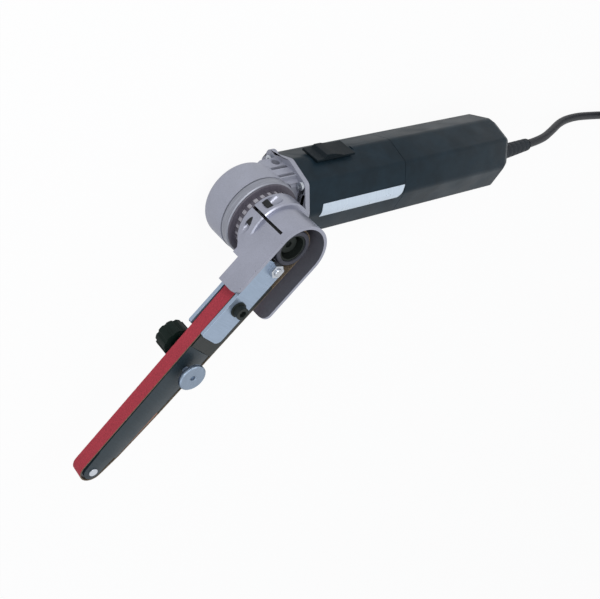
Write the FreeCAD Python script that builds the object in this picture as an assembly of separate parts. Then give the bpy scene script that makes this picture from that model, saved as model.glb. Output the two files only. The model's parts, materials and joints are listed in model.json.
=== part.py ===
import FreeCAD, Part
import math
import os

# Handheld belt sander (electric band file), lying on its side with the spindle axis upright.
# Row frame: +X runs along the motor axis from the spindle to the cord, +Y is the switch side,
# +Z is the spindle axis towards the drive pulley. The origin is on the floor below the spindle.
# Everything is drawn with the motor axis at z = 0 and lifted by half the body's width when saved.
# The sanding arm is drawn along +X with its working side at +Y, then turned to arm_heading.

V = FreeCAD.Vector
X = V(1, 0, 0)
Y = V(0, 1, 0)
Z = V(0, 0, 1)

# ---------------------------------------------------------------- driving dimensions, mm
gap = 0.3              # between pieces that move past each other
fit = 0.05             # radial play of a shaft, spigot or screw in its hole
screw_play = 0.1       # radial play of a clamp or adjusting screw

body_half = 32.0       # motor axis to the middle of each side of the body
body_corner = 1.15 * body_half   # motor axis to a sharp corner of the body's section
body_round = 7.0       # rounding of the four long corners
body_wall = 3.0
joint_x = 38.0         # face where the plastic housing meets the gear housing
seam_x = 136.5         # parting line between motor housing and rear housing
tail_x = 262.0         # where the rear end starts to taper
tail_l = 10.0          # length of the taper
end_x = tail_x + tail_l
tail_shoulder = 0.125 * body_half   # the taper's inset half way and at its end
tail_inset = 0.345 * body_half
vent_count = 24
vent_w = 2.5
seam_gap = 0.3

head_r = 32.5          # gear housing
head_wall = 4.0
head_seam = 16.0       # height of the bearing flange's joint above the motor axis
head_side = -9.0       # where the domed back starts
foot_r = 14.0          # flat rest face on the back
neck_inset = 5.0       # neck inside the body's outline
plate_t = 4.0          # mounting flange against the motor housing
corner_screw_r = body_corner - 5.6   # motor axis to each housing screw
screw_r = 2.0          # M4 housing screws
screw_head_r = 3.5
screw_head_t = 2.6
handle_thread_r = 3.4  # M8 side handle thread, tapping size
handle_thread_l = 11.0
handle_x = 26.5
slot_w = 3.2           # cooling slots in the neck
slot_rows = (8.0, 16.5)

flange_r = 31.5        # bearing flange
flange_t = 7.2
flange_screw_r = 25.6  # spindle axis to each screw under the index ring
collar_neck_r = 20.0   # neck that the arm clamps onto
index_r = 28.6         # notched index ring
index_t = 7.5
index_count = 36

spindle_r = 6.0
bearing_r = 16.0       # front spindle bearing
bearing_t = 10.0
small_bearing_r = 11.0
small_bearing_t = 7.0
small_bore_r = 4.0
motor_bearing_r = 13.0
motor_bearing_t = 8.0

gear_teeth = 44
pinion_teeth = 13
gear_pitch_r = 21.0    # at the wide end of the teeth
gear_face = 7.0        # length of the teeth
addendum = 0.45
dedendum = 0.65
tooth_share = 0.36     # tooth width as a share of the pitch

belt_length = 520.0
belt_width = 12.0
belt_thick = 1.0
belt_mid = 56.0        # belt centre plane above the motor axis
sleeve_r = 14.5        # rubber sleeve of the drive pulley
sleeve_wall = 3.3
sleeve_rim = 1.4       # sleeve past the belt's near edge
nose_r = 8.5
pad_from_nose = 18.2   # nose axle to the shoe pad's near end
pad_length = 43.0
pad_start_y = 12.6     # working face of the shoe pad, from the arm's axis
pad_end_y = 10.8
pad_edge_r = 4.0
pad_thick = 2.0

arm_heading = 227.6    # degrees from +X
casting_r = 27.2       # clamp collar
guard_r = 24.1         # belt guard
guard_wall = 2.6
guard_rim = 71.4       # height of the guard's rim above the motor axis
guard_step = 45.5      # height where the collar steps in to the guard
guard_floor_t = 3.2
floor_end = 30.0       # reach of the guard's floor along the arm
flap_end = 53.0        # reach of the guard over the back run
skirt_end = 57.0       # reach of the guard under the working run
guard_corner = 7.5
slit_angle = -97.6     # from the arm's axis
slit_w = 2.2
slit_top = 65.0
clamp_screw_z = 37.6
clamp_screw_r = 24.0   # spindle axis to the clamp screw's axis
m5 = 2.5
m6 = 3.0

plate_start = 16.2     # side plates
plate_end = 89.5
side_plate_t = 3.0
plate_back = -14.7
plate_front = 6.0
bolt_y = -4.4
stud_x = 19.5
bolt_x = 58.7
carrier_start = 32.0
carrier_end = 101.0
spring_x = 50.0
spring_r = 3.9
spring_turns = 8
tension_travel = 8.0
run_clearance = 0.7    # arm to the inside of the belt
arm_crown = 1.3        # convexity of the contact arm's sides
fork_half = 4.5
axle_r = 2.5
knob_x = 109.0
knob_y = -1.5
knob_r = 12.4
knob_t = 13.0
wheel_x = 118.0
wheel_r = 11.0
wheel_t = 3.8
wheel_lift = 7.4       # stem showing between arm and wheel

fan_x = 42.0
fan_t = 7.0
fan_r = 24.0
core_x = 57.0
core_l = 40.0
core_r = 19.0
stator_r = 25.5
air_gap = 0.6
commutator_x = 104.0
commutator_l = 13.0
commutator_r = 11.0
bulkhead_x = 122.0
bulkhead_t = 10.0

slider_x = 54.0        # slide switch
slider_l = 38.0
slider_w = 20.0
slider_travel = 6.0
switch_x = 150.0
switch_top = body_half - 10.0
rod_y = body_half - 5.4
rod_t = 1.8

boot_y = -9.0
boot_z = 1.0
boot_root_r = 7.8
boot_tip_r = 5.8
boot_l = 57.0
boot_tilt = 4.5
cord_r = 4.0
coil_mean_r = 44.0
coil_half = 12.0
coil_at = (524.0, 36.0)

# ---------------------------------------------------------------- heights worked out
plane = {"far": belt_mid - belt_width / 2, "near": belt_mid + belt_width / 2}
inner_half = belt_width / 2 + 1.0                    # half the space between the side plates
far_plate_z = belt_mid - inner_half - side_plate_t
near_plate_z = belt_mid + inner_half
guard_floor_z = far_plate_z - guard_floor_t
neck_end_z = guard_floor_z - 0.5
flange_top = head_seam + flange_t
index_top = flange_top + index_t
casting_z = index_top + gap
sleeve_bottom = plane["far"] - 0.7
sleeve_top = plane["near"] + sleeve_rim
front_bearing_z = neck_end_z - 1.3 - bearing_t
rear_bearing_z = -body_half + 4.8
cone = pinion_teeth / gear_teeth                     # pitch cone: height over radius


# ---------------------------------------------------------------- helpers
def cylinder(r, z0, z1, x=0.0, y=0.0):
    return Part.makeCylinder(r, z1 - z0, V(x, y, z0))


def ring(outer, inner, z0, z1, x=0.0, y=0.0):
    return cylinder(outer, z0, z1, x, y).cut(cylinder(inner, z0 - 1, z1 + 1, x, y))


def rod(r, x0, x1, y=0.0, z=0.0):
    return Part.makeCylinder(r, x1 - x0, V(x0, y, z), X)


def tube(outer, inner, x0, x1, y=0.0, z=0.0):
    return rod(outer, x0, x1, y, z).cut(rod(inner, x0 - 1, x1 + 1, y, z))


def block(x0, x1, y0, y1, z0, z1):
    return Part.makeBox(x1 - x0, y1 - y0, z1 - z0, V(x0, y0, z0))


def turned(profile):
    """A solid of revolution about Z from (radius, height) points."""
    points = [V(r, 0, z) for r, z in profile]
    return Part.Face(Part.makePolygon(points + points[:1])).revolve(V(0, 0, 0), Z, 360)


def slab(profile, y0, y1):
    """A prism along Y from (x, z) points."""
    points = [V(x, y0, z) for x, z in profile]
    return Part.Face(Part.makePolygon(points + points[:1])).extrude(V(0, y1 - y0, 0))


def hexagon(across, z0, z1, x, y):
    points = []
    for k in range(7):
        a = math.radians(60 * k)
        r = across / math.sqrt(3)
        points.append(V(x + r * math.cos(a), y + r * math.sin(a), z0))
    return Part.Face(Part.makePolygon(points)).extrude(V(0, 0, z1 - z0))


def rounded(shape, radius, chosen):
    """Fillets the edges for which chosen(edge) is true."""
    edges = [e for e in shape.Edges if chosen(e)]
    return shape.makeFillet(radius, edges)


def chamfered(shape, size, chosen):
    edges = [e for e in shape.Edges if chosen(e)]
    return shape.makeChamfer(size, edges)


def at_height(z, low=0.0, high=1e9):
    """Tests that an edge lies level at height z and between two radii from the Z axis."""
    def test(edge):
        box = edge.BoundBox
        r = max(math.hypot(v.X, v.Y) for v in edge.Vertexes)
        return abs(box.ZMin - z) < 1e-4 and abs(box.ZMax - z) < 1e-4 and low <= r <= high
    return test


def upright(edge):
    """Tests that an edge runs straight along Z."""
    box = edge.BoundBox
    return box.XLength < 1e-5 and box.YLength < 1e-5 and box.ZLength > 0.1


def fused(shapes):
    first = shapes[0]
    return first.multiFuse(list(shapes[1:])).removeSplitter() if len(shapes) > 1 else first


def bearing(outer, inner, width):
    """A sealed ball bearing: two rings with a recessed seal between them."""
    body = ring(outer, inner, 0, width)
    shield = ring(outer - 0.22 * (outer - inner), inner + 0.22 * (outer - inner), -1, 0.5)
    body = body.cut(shield)
    shield.translate(V(0, 0, width + 0.5))
    return body.cut(shield)


def save(name, shape, turned_to=None):
    """Writes one sub-part, turned to the arm's heading if it is drawn along the arm."""
    shape = shape.copy()
    if turned_to is not None:
        shape.rotate(V(0, 0, 0), Z, turned_to)
    shape.translate(V(0, 0, body_half))
    solids = shape.Solids
    for s in solids:
        if not s.isValid() or s.Volume <= 0:
            print("BAD SOLID", name)
    result = solids[0] if len(solids) == 1 else Part.makeCompound(solids)
    result.exportStep("parts/" + name + ".step")
    print(name, len(solids), round(sum(s.Volume for s in solids), 1))


def save_arm(name, shape):
    save(name, shape, arm_heading)


# ---------------------------------------------------------------- body section
def body_wire(x, inset=0.0):
    """The body's section at x: a square with convex sides and rounded corners."""
    half = body_half - inset
    c = (body_corner - 1.06 * inset) / math.sqrt(2)
    rise = half - c
    side_r = (c * c + rise * rise) / (2 * rise)
    m = half - side_r
    f = max(body_round - inset, 1.0)
    k = (m + math.sqrt(2 * (side_r - f) ** 2 - m * m)) / 2
    ty = side_r * k / (side_r - f)
    tz = m + side_r * (k - m) / (side_r - f)
    tip = k + f / math.sqrt(2)
    edges = []
    start, middle, end, corner, after = (-ty, tz), (0.0, half), (ty, tz), (tip, tip), (tz, ty)
    for _ in range(4):
        edges.append(Part.Arc(*[V(x, y, z) for y, z in (start, middle, end)]).toShape())
        edges.append(Part.Arc(*[V(x, y, z) for y, z in (end, corner, after)]).toShape())
        start, middle, end, corner, after = [(z, -y) for y, z in (start, middle, end, corner, after)]
    return Part.Wire(Part.__sortEdges__(edges))


def body_prism(x0, x1, inset=0.0):
    return Part.Face(body_wire(x0, inset)).extrude(V(x1 - x0, 0, 0))


def body_taper(x0, inset0, x1, inset1):
    return Part.makeLoft([body_wire(x0, inset0), body_wire(x1, inset1)], True, True)


def corners():
    """The (y, z) places of the four housing screws."""
    d = corner_screw_r / math.sqrt(2)
    return [(d, d), (-d, d), (-d, -d), (d, -d)]


# ---------------------------------------------------------------- belt path
def belt_circles(nose_x):
    """What the belt runs round, counter-clockwise: pulley, nose roller and the pad's two edges."""
    return [
        (0.0, 0.0, sleeve_r),
        (nose_x, 0.0, nose_r),
        (nose_x - pad_from_nose, pad_end_y - pad_edge_r, pad_edge_r),
        (nose_x - pad_from_nose - pad_length, pad_start_y - pad_edge_r, pad_edge_r),
    ]


def tangents(circles):
    """The outward normal's angle of the straight run from each circle to the next."""
    angles = []
    for (x0, y0, r0), (x1, y1, r1) in zip(circles, circles[1:] + circles[:1]):
        along = math.atan2(y1 - y0, x1 - x0)
        angles.append(along - math.acos((r0 - r1) / math.hypot(x1 - x0, y1 - y0)))
    return angles


def loop_length(circles, extra):
    normals = tangents(circles)
    total = 0.0
    for i, (x0, y0, r0) in enumerate(circles):
        x1, y1, r1 = circles[(i + 1) % len(circles)]
        total += math.sqrt((x1 - x0) ** 2 + (y1 - y0) ** 2 - (r0 - r1) ** 2)
        total += (r0 + extra) * ((normals[i] - normals[i - 1]) % (2 * math.pi))
    return total


def loop_face(circles, extra, z):
    """A flat face bounded by the belt's path, extra outside the circles."""
    normals = tangents(circles)
    edges = []
    for i, (x, y, r) in enumerate(circles):
        r = r + extra
        a0 = normals[i - 1]
        a1 = a0 + (normals[i] - a0) % (2 * math.pi)
        on = [V(x + r * math.cos(a), y + r * math.sin(a), z) for a in (a0, (a0 + a1) / 2, a1)]
        edges.append(Part.Arc(*on).toShape())
        x1, y1, r1 = circles[(i + 1) % len(circles)]
        r1 = r1 + extra
        away = V(x1 + r1 * math.cos(a1), y1 + r1 * math.sin(a1), z)
        edges.append(Part.LineSegment(on[2], away).toShape())
    return Part.Face(Part.Wire(edges))


def nose_distance():
    """Spindle to nose axle for the belt's length along its middle."""
    x = belt_length / 2 - 40
    for _ in range(30):
        x += (belt_length - loop_length(belt_circles(x), gap + belt_thick / 2)) / 2
    return x


nose_x = nose_distance()
pad_start = nose_x - pad_from_nose - pad_length
path = belt_circles(nose_x)


# ---------------------------------------------------------------- gear head
def domed_head():
    """The round head: a cylinder whose back is domed down to the flat foot."""
    foot = V(foot_r, 0, -body_half)
    side = V(head_r, 0, head_side)
    bulge = V(foot_r + 0.66 * (head_r - foot_r), 0, head_side - 0.66 * (body_half + head_side))
    edges = [Part.LineSegment(V(0, 0, -body_half), foot).toShape(),
             Part.Arc(foot, bulge, side).toShape(),
             Part.LineSegment(side, V(head_r, 0, head_seam)).toShape(),
             Part.LineSegment(V(head_r, 0, head_seam), V(0, 0, head_seam)).toShape(),
             Part.LineSegment(V(0, 0, head_seam), V(0, 0, -body_half)).toShape()]
    return Part.Face(Part.Wire(edges)).revolve(V(0, 0, 0), Z, 360)


def gear_housing():
    face_x = joint_x - plate_t
    shape = fused([domed_head(), body_prism(4, face_x + 0.5, neck_inset),
                   body_prism(face_x, joint_x)])
    # the bearing flange sits in front of the neck, with an open pocket beside it
    shape = shape.cut(cylinder(flange_r + 1.0, head_seam, body_half + 5))
    shape = shape.cut(block(14, face_x, -20.5, 20.5, motor_bearing_r + head_wall, body_half))
    # cavity for the gears and seat for the rear spindle bearing
    inner = head_r - head_wall
    cavity = turned([(0, rear_bearing_z), (small_bearing_r + fit, rear_bearing_z),
                     (small_bearing_r + fit, rear_bearing_z + small_bearing_t),
                     (inner - 12, rear_bearing_z + small_bearing_t), (inner, head_side - 2),
                     (inner, head_seam + 1), (0, head_seam + 1)])
    chamber = block(24, joint_x + 1, -21, 21, -20, motor_bearing_r + 0.2)
    boss = rod(head_seam - gap, 23, face_x)
    thread_boss = Part.makeCylinder(7.0, body_half - neck_inset - motor_bearing_r,
                                    V(handle_x + 0.5, motor_bearing_r, 0), Y)
    shape = fused([shape.cut(chamber), boss, thread_boss.common(body_prism(10, face_x, neck_inset))])
    shape = shape.cut(cavity).cut(rod(motor_bearing_r + fit, 25, joint_x + 1))
    shape = shape.cut(rod(9.5, 10, 30))
    for x, y in flange_screw_places():
        lug = cylinder(3.3, head_seam - 13, head_seam - 2.65, x, y)
        shape = fused([shape, lug]).cut(cylinder(screw_r + fit, head_seam - 11, head_seam, x, y))
    top = body_half - neck_inset
    mouth = Part.makeCylinder(handle_thread_r, handle_thread_l + 5,
                              V(handle_x, top - handle_thread_l, 0), Y)
    spot = Part.makeCylinder(handle_thread_r + 2.2, 3, V(handle_x, top - 0.6, 0), Y)
    shape = shape.cut(mouth).cut(spot)
    for z in slot_rows:
        for side in (1, -1):
            cut = block(17, 33, 23.2, 31, side * z - slot_w / 2, side * z + slot_w / 2)
            vent = block(25, 33, 18, 31, side * z - slot_w / 2, side * z + slot_w / 2)
            shape = shape.cut(cut).cut(vent)
    for y, z in corners():
        shape = shape.cut(rod(screw_head_r + 0.9, 20, face_x, y, z))
        shape = shape.cut(rod(screw_r + fit, face_x - 1, joint_x + 1, y, z))
    return shape


def bearing_flange():
    rim = chamfered(cylinder(flange_r, head_seam, flange_top), 0.9, at_height(flange_top))
    spigot = cylinder(head_r - head_wall - fit, head_seam - 2.6, head_seam + 0.1)
    neck = chamfered(cylinder(collar_neck_r, flange_top - 0.1, neck_end_z), 0.6, at_height(neck_end_z))
    shape = fused([rim, spigot, neck])
    shape = shape.cut(cylinder(12.5, 0, neck_end_z + 1))
    shape = shape.cut(cylinder(bearing_r + fit, front_bearing_z, neck_end_z + 1))
    for x, y in flange_screw_places():
        shape = shape.cut(cylinder(screw_r + fit, 0, flange_top - 1, x, y))
        shape = shape.cut(cylinder(screw_head_r + fit, flange_top - 2, flange_top + 0.1, x, y))
    return shape


def index_ring():
    shape = ring(index_r, collar_neck_r + fit, flange_top, index_top)
    shape = chamfered(shape, 1.2, at_height(index_top, index_r - 1))
    for k in range(index_count):
        notch = block(index_r - 1.6, index_r + 1, -1.3, 1.3, flange_top + 2.4, index_top - 1.9)
        notch.rotate(V(0, 0, 0), Z, 360.0 * k / index_count)
        shape = shape.cut(notch)
    return shape


def retaining_ring():
    """Snap ring that holds the front spindle bearing in the neck."""
    z = front_bearing_z + bearing_t
    return ring(bearing_r, bearing_r - 2.0, z, z + 1.0)


def flange_screw_places():
    d = flange_screw_r / math.sqrt(2)
    return [(d, d), (-d, d), (-d, -d), (d, -d)]


def flange_screws(play=0.0):
    """Countersunk screws under the index ring, which hold the bearing flange."""
    screws = []
    for x, y in flange_screw_places():
        shank = cylinder(screw_r + play, head_seam - 10, flange_top - 0.3, x, y)
        head = Part.makeCone(screw_r, screw_head_r, 1.5, V(x, y, flange_top - 1.8 - play))
        screws.append(fused([shank, head]))
    return screws


def housing_screws():
    face_x = joint_x - plate_t
    return [fused([rod(screw_head_r, face_x - screw_head_t, face_x, y, z),
                   rod(screw_r, face_x - 0.1, joint_x + 14, y, z)]).cut(
                       rod(1.3, face_x - screw_head_t - 1, face_x - 1.0, y, z))
            for y, z in corners()]


# ---------------------------------------------------------------- spindle and drive
def gear_tooth(root, tip, r0, r1):
    """A tapered bevel tooth at angle 0: root and tip are offsets from the pitch cone."""
    wires = []
    for r in (r0, r1):
        half = tooth_share * math.pi * r / gear_teeth
        level = cone * r
        points = [V(r, -half, level + root), V(r, half, level + root),
                  V(r, 0.7 * half, level + tip), V(r, -0.7 * half, level + tip)]
        wires.append(Part.makePolygon(points + points[:1]))
    return Part.makeLoft(wires, True, True)


def bevel_gear():
    r1 = gear_pitch_r
    r0 = r1 - gear_face
    back = head_seam - 4.2
    inner = r0 - 0.8
    blank = turned([(spindle_r + fit, cone * inner + 0.6), (inner - 1, cone * inner + 0.6),
                    (inner, cone * inner + dedendum), (r1 + 0.8, cone * (r1 + 0.8) + dedendum),
                    (r1 + 0.8, back - 1.5), (r0, back), (spindle_r + fit, back)])
    teeth = []
    for k in range(gear_teeth):
        tooth = gear_tooth(dedendum + 0.5, -addendum, r0, r1)
        tooth.rotate(V(0, 0, 0), Z, 360.0 * k / gear_teeth)
        teeth.append(tooth)
    return blank.multiFuse(teeth)


def bevel_pinion():
    r1 = gear_pitch_r
    r0 = r1 - gear_face
    blank = turned([(3.0 + fit, r0), (cone * r0 - dedendum, r0), (cone * r1 - dedendum, r1),
                    (cone * r1 - dedendum, r1 + 1.5), (3.0 + fit, r1 + 1.5)])
    blank.rotate(V(0, 0, 0), Y, 90)
    teeth = []
    for k in range(pinion_teeth):
        tooth = gear_tooth(-dedendum - 0.4, addendum, r0, r1)
        tooth.rotate(V(0, 0, 0), X, 360.0 * (k + 0.5) / pinion_teeth)
        teeth.append(tooth)
    return blank.multiFuse(teeth)


def spindle():
    top = front_bearing_z + bearing_t
    shape = fused([cylinder(small_bore_r - fit, rear_bearing_z + 0.4, rear_bearing_z + small_bearing_t + 1),
                   cylinder(spindle_r, rear_bearing_z + small_bearing_t + 0.6, top + 0.2),
                   cylinder(5.0, top, sleeve_bottom + 4.6)])
    return chamfered(shape, 0.5, at_height(sleeve_bottom + 4.6))


def pulley_hub():
    """Cup-shaped hub: the screw sits deep in its open bore."""
    floor = sleeve_bottom + 4.2
    r = sleeve_r - sleeve_wall
    shape = cylinder(r, sleeve_bottom + 0.2, sleeve_top - 1.2).cut(cylinder(r - 1.6, floor, sleeve_top))
    spacer = cylinder(8.0, front_bearing_z + bearing_t + 0.8, sleeve_bottom + 0.3)
    shape = fused([shape, spacer])
    return shape.cut(cylinder(5.0 + fit, 0, sleeve_top))


def pulley_sleeve():
    shape = ring(sleeve_r, sleeve_r - sleeve_wall, sleeve_bottom, sleeve_top)
    return rounded(shape, 0.9, at_height(sleeve_top, sleeve_r - 1))


def pulley_screw():
    floor = sleeve_bottom + 4.6
    head = cylinder(7.5, floor, floor + 3.6).cut(hexagon(5.0, floor + 1.2, floor + 4, 0, 0))
    return chamfered(head, 0.6, at_height(floor + 3.6, 7))


# ---------------------------------------------------------------- arm casting
def guard_blank(z0, z1, inset, end):
    """A prism of the guard's outline: round at the pulley, straight towards the nose."""
    r = guard_r - inset
    return fused([cylinder(r, z0, z1), block(0, end, -r, r, z0, z1)])


def arm_casting():
    bore = collar_neck_r + gap
    collar = chamfered(cylinder(casting_r, casting_z, guard_step), 1.0, at_height(guard_step))
    web = slab([(0, casting_z), (13, casting_z), (floor_end, far_plate_z + 1),
                (floor_end, far_plate_z + 3), (0, far_plate_z + 3)], -guard_r, guard_r)
    shell = guard_blank(guard_floor_z, guard_rim, 0, skirt_end)
    shape = fused([collar, web, shell])
    # inside of the guard and the bore of the collar
    shape = shape.cut(guard_blank(far_plate_z, guard_rim + 1, guard_wall, skirt_end + 1))
    shape = shape.cut(cylinder(bore, casting_z - 1, guard_floor_z))
    shape = shape.cut(cylinder(sleeve_r - 0.5, guard_floor_z - 1, far_plate_z + 1))
    # the walls past the floor end lower down, and their rims end in round corners
    shape = shape.cut(block(floor_end, skirt_end + 1, -guard_r - 1, guard_r + 1, 0, far_plate_z + 3.4))
    shape = shape.cut(block(flap_end, skirt_end + 1, -guard_r - 1, 0, 0, guard_rim + 1))
    for x, side in ((flap_end, -1), (skirt_end, 1)):
        y = side * guard_r
        corner = block(x - guard_corner, x + 1, min(0, y) - 1, max(0, y) + 1,
                       guard_rim - guard_corner, guard_rim + 1)
        arc = Part.makeCylinder(guard_corner, 2 * guard_r + 4,
                                V(x - guard_corner, -guard_r - 2, guard_rim - guard_corner), Y)
        shape = shape.cut(corner.cut(arc))
    # slit of the clamp
    slit = block(15, casting_r + 2, -slit_w / 2, slit_w / 2, casting_z - 1, slit_top)
    slit.rotate(V(0, 0, 0), Z, slit_angle)
    shape = shape.cut(slit)
    shape = shape.cut(clamp_hole())
    return shape.cut(cylinder(m6 + fit, guard_floor_z - 1, far_plate_z + 1, stud_x, bolt_y))


def across_slit(r, y0, y1):
    """A cylinder along the clamp screw's axis, from y0 to y1 across the slit."""
    bar = Part.makeCylinder(r, y1 - y0, V(clamp_screw_r, y0, clamp_screw_z), Y)
    bar.rotate(V(0, 0, 0), Z, slit_angle)
    return bar


def clamp_hole():
    return fused([across_slit(m5 + screw_play, -20, 20), across_slit(m5 + 2.2, -24, -6.0)])


def clamp_screw():
    head = across_slit(m5 + 1.7, -10.6, -6.0).cut(across_slit(2.0, -11, -8.4))
    return fused([head, across_slit(m5, -6.2, 11.5)])


# ---------------------------------------------------------------- side plates and their fasteners
def side_plate(z):
    shape = block(plate_start, plate_end, plate_back, plate_front, z, z + side_plate_t)
    shape = rounded(shape, 2.0, lambda e: upright(e) and e.BoundBox.YMin < 0)
    shape = rounded(shape, 5.0, lambda e: upright(e) and e.BoundBox.YMax > plate_front - 0.1
                    and e.BoundBox.XMin > plate_end - 0.1)
    for x in (stud_x, bolt_x):
        shape = shape.cut(cylinder(m6 + fit, z - 1, z + 5, x, bolt_y))
    return shape


def plate_stud():
    top = near_plate_z + side_plate_t
    stud = chamfered(cylinder(m6, guard_floor_z + 0.1, top + 6.0, stud_x, bolt_y), 0.6,
                     at_height(top + 6.0))
    return stud


def stud_nut():
    top = near_plate_z + side_plate_t
    return hexagon(10.0, top, top + 4.4, stud_x, bolt_y).cut(
        cylinder(m6 + fit, top - 1, top + 6, stud_x, bolt_y))


def stud_spacer():
    return ring(m6 + 1.5, m6 + fit, far_plate_z + side_plate_t, near_plate_z, stud_x, bolt_y)


def plate_bolt():
    top = near_plate_z + side_plate_t
    washer = cylinder(6.2, top, top + 1.2, bolt_x, bolt_y)
    head = cylinder(m6 + 2.0, top + 1.1, top + 6.4, bolt_x, bolt_y)
    head = head.cut(hexagon(5.0, top + 3.4, top + 7, bolt_x, bolt_y))
    shank = cylinder(m6, far_plate_z - 4.2, top + 0.1, bolt_x, bolt_y)
    return fused([washer, head, shank])


def plate_nut():
    return hexagon(10.0, far_plate_z - 4.0, far_plate_z, bolt_x, bolt_y).cut(
        cylinder(m6 + fit, far_plate_z - 5, far_plate_z + 1, bolt_x, bolt_y))


# ---------------------------------------------------------------- sliding half of the arm
def between_runs(x0, x1, z0, z1):
    """A prism that fills the space between the belt's two runs, with running clearance."""
    face = loop_face(path, gap - run_clearance, z0)
    return face.extrude(V(0, 0, z1 - z0)).common(block(x0, x1, -30, 30, z0, z1))


def arm_carrier():
    half = inner_half - gap
    shape = between_runs(carrier_start, carrier_end, belt_mid - half, belt_mid + half)
    shape = rounded(shape, 1.0, lambda e: upright(e) and e.BoundBox.XMin < carrier_start + 0.1)
    slot = fused([cylinder(m6 + gap, 0, 90, bolt_x, bolt_y),
                  cylinder(m6 + gap, 0, 90, bolt_x + tension_travel, bolt_y),
                  block(bolt_x, bolt_x + tension_travel, bolt_y - m6 - gap, bolt_y + m6 + gap, 0, 90)])
    return shape.cut(slot).cut(rod(spring_r + gap, carrier_start - 1, spring_x, bolt_y, belt_mid))


def tension_spring():
    """The belt tension spring between the stud's spacer and the carrier's pocket."""
    start = stud_x + m6 + 1.5 + 0.1
    pitch = (spring_x - start - 0.1) / spring_turns
    outline = [(spring_r - 1.6, start)]
    for k in range(spring_turns):
        x = start + pitch * k
        outline += [(spring_r - 0.9, x), (spring_r, x + 0.5 * pitch)]
    outline.append((spring_r - 1.6, spring_x - 0.1))
    shape = turned(outline)
    shape.rotate(V(0, 0, 0), Y, 90)
    shape.translate(V(0, bolt_y, belt_mid))
    return shape


def shoe_slab(inset):
    """The shoe pad's prism, inset below its working face."""
    x0, x1 = pad_start - 1.5, pad_start + pad_length + 1.5
    y0, y1 = pad_start_y - inset, pad_end_y - inset
    points = [V(x0, y0 - pad_thick, 0), V(x1, y1 - pad_thick, 0), V(x1, y1, 0), V(x0, y0, 0)]
    face = Part.Face(Part.makePolygon(points + points[:1]))
    prism = face.extrude(V(0, 0, belt_width))
    prism.translate(V(0, 0, plane["far"]))
    return prism


def shoe_pad():
    return rounded(shoe_slab(0.0), 1.4, lambda e: upright(e) and e.BoundBox.YMin > pad_end_y - 0.1)


def contact_arm():
    half = belt_width / 2 + arm_crown
    narrow = [(nose_x - 1.25 * pad_from_nose, 0, nose_r), (nose_x, 0, nose_r - 1.5)]
    shape = between_runs(carrier_end + 0.1, nose_x - pad_from_nose + 2, belt_mid - half, belt_mid + half)
    tip = loop_face(narrow, 0, belt_mid - half).extrude(V(0, 0, 2 * half))
    shape = fused([shape, tip])
    # the sides are gently convex
    crown_r = (12.5 ** 2 + (arm_crown + 0.4) ** 2) / (2 * (arm_crown + 0.4))
    for side in (1, -1):
        z = belt_mid + side * (half - crown_r)
        shape = shape.common(rod(crown_r, carrier_end - 10, nose_x + 20, 0, z))
    pad_bed = shoe_slab(0.0)
    above = shoe_slab(-4.0)
    shape = shape.cut(pad_bed).cut(above).cut(shoe_slab(-2.0))
    fork = fused([cylinder(nose_r + 1.2, belt_mid - fork_half, belt_mid + fork_half, nose_x, 0),
                  block(nose_x, nose_x + 12, -12, 12, belt_mid - fork_half, belt_mid + fork_half)])
    shape = shape.cut(fork)
    shape = shape.cut(cylinder(axle_r + fit, 0, 90, nose_x, 0))
    shape = shape.cut(cylinder(m5 + screw_play, belt_mid - 4, 90, wheel_x, 0))
    return shape.cut(cylinder(m5 + screw_play, 0, belt_mid - 3.5, knob_x, knob_y))


def nose_roller():
    half = fork_half - gap
    shape = ring(nose_r, axle_r + fit, belt_mid - half, belt_mid + half, nose_x, 0)
    return shape


def nose_axle():
    half = belt_width / 2 + arm_crown
    shape = fused([cylinder(axle_r, belt_mid - half, belt_mid + half, nose_x, 0),
                   cylinder(axle_r + 0.9, belt_mid + half - 0.05, belt_mid + half + 0.8, nose_x, 0)])
    return shape


def belt():
    z = plane["far"]
    outer = loop_face(path, gap + belt_thick, z).extrude(V(0, 0, belt_width))
    inner = loop_face(path, gap, z - 1).extrude(V(0, 0, belt_width + 2))
    return outer.cut(inner)


def tracking_screw():
    face = belt_mid + belt_width / 2 + arm_crown + wheel_lift
    wheel = chamfered(cylinder(wheel_r, face, face + wheel_t, wheel_x, 0), 0.6,
                      lambda e: len(e.Vertexes) == 1 and e.BoundBox.ZLength < 1e-4)
    stem = cylinder(m5, belt_mid - 3.7, face + 0.1, wheel_x, 0)
    return fused([wheel, stem]).cut(cylinder(1.5, face + wheel_t - 2.0, face + wheel_t + 1, wheel_x, 0))


def release_knob():
    top = belt_mid - belt_width / 2 - arm_crown - 0.4
    face = top - 4.6
    knob = cylinder(knob_r, face - knob_t, face, knob_x, knob_y)
    for k in range(10):
        a = math.radians(36 * k)
        knob = knob.cut(cylinder(2.0, face - knob_t - 1, face + 1, knob_x + (knob_r + 1.1) * math.cos(a),
                                 knob_y + (knob_r + 1.1) * math.sin(a)))
    neck = cylinder(4.5, face - 0.1, top, knob_x, knob_y)
    stem = cylinder(m5, top - 0.1, belt_mid - 3.7, knob_x, knob_y)
    return fused([knob, neck, stem])


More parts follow.
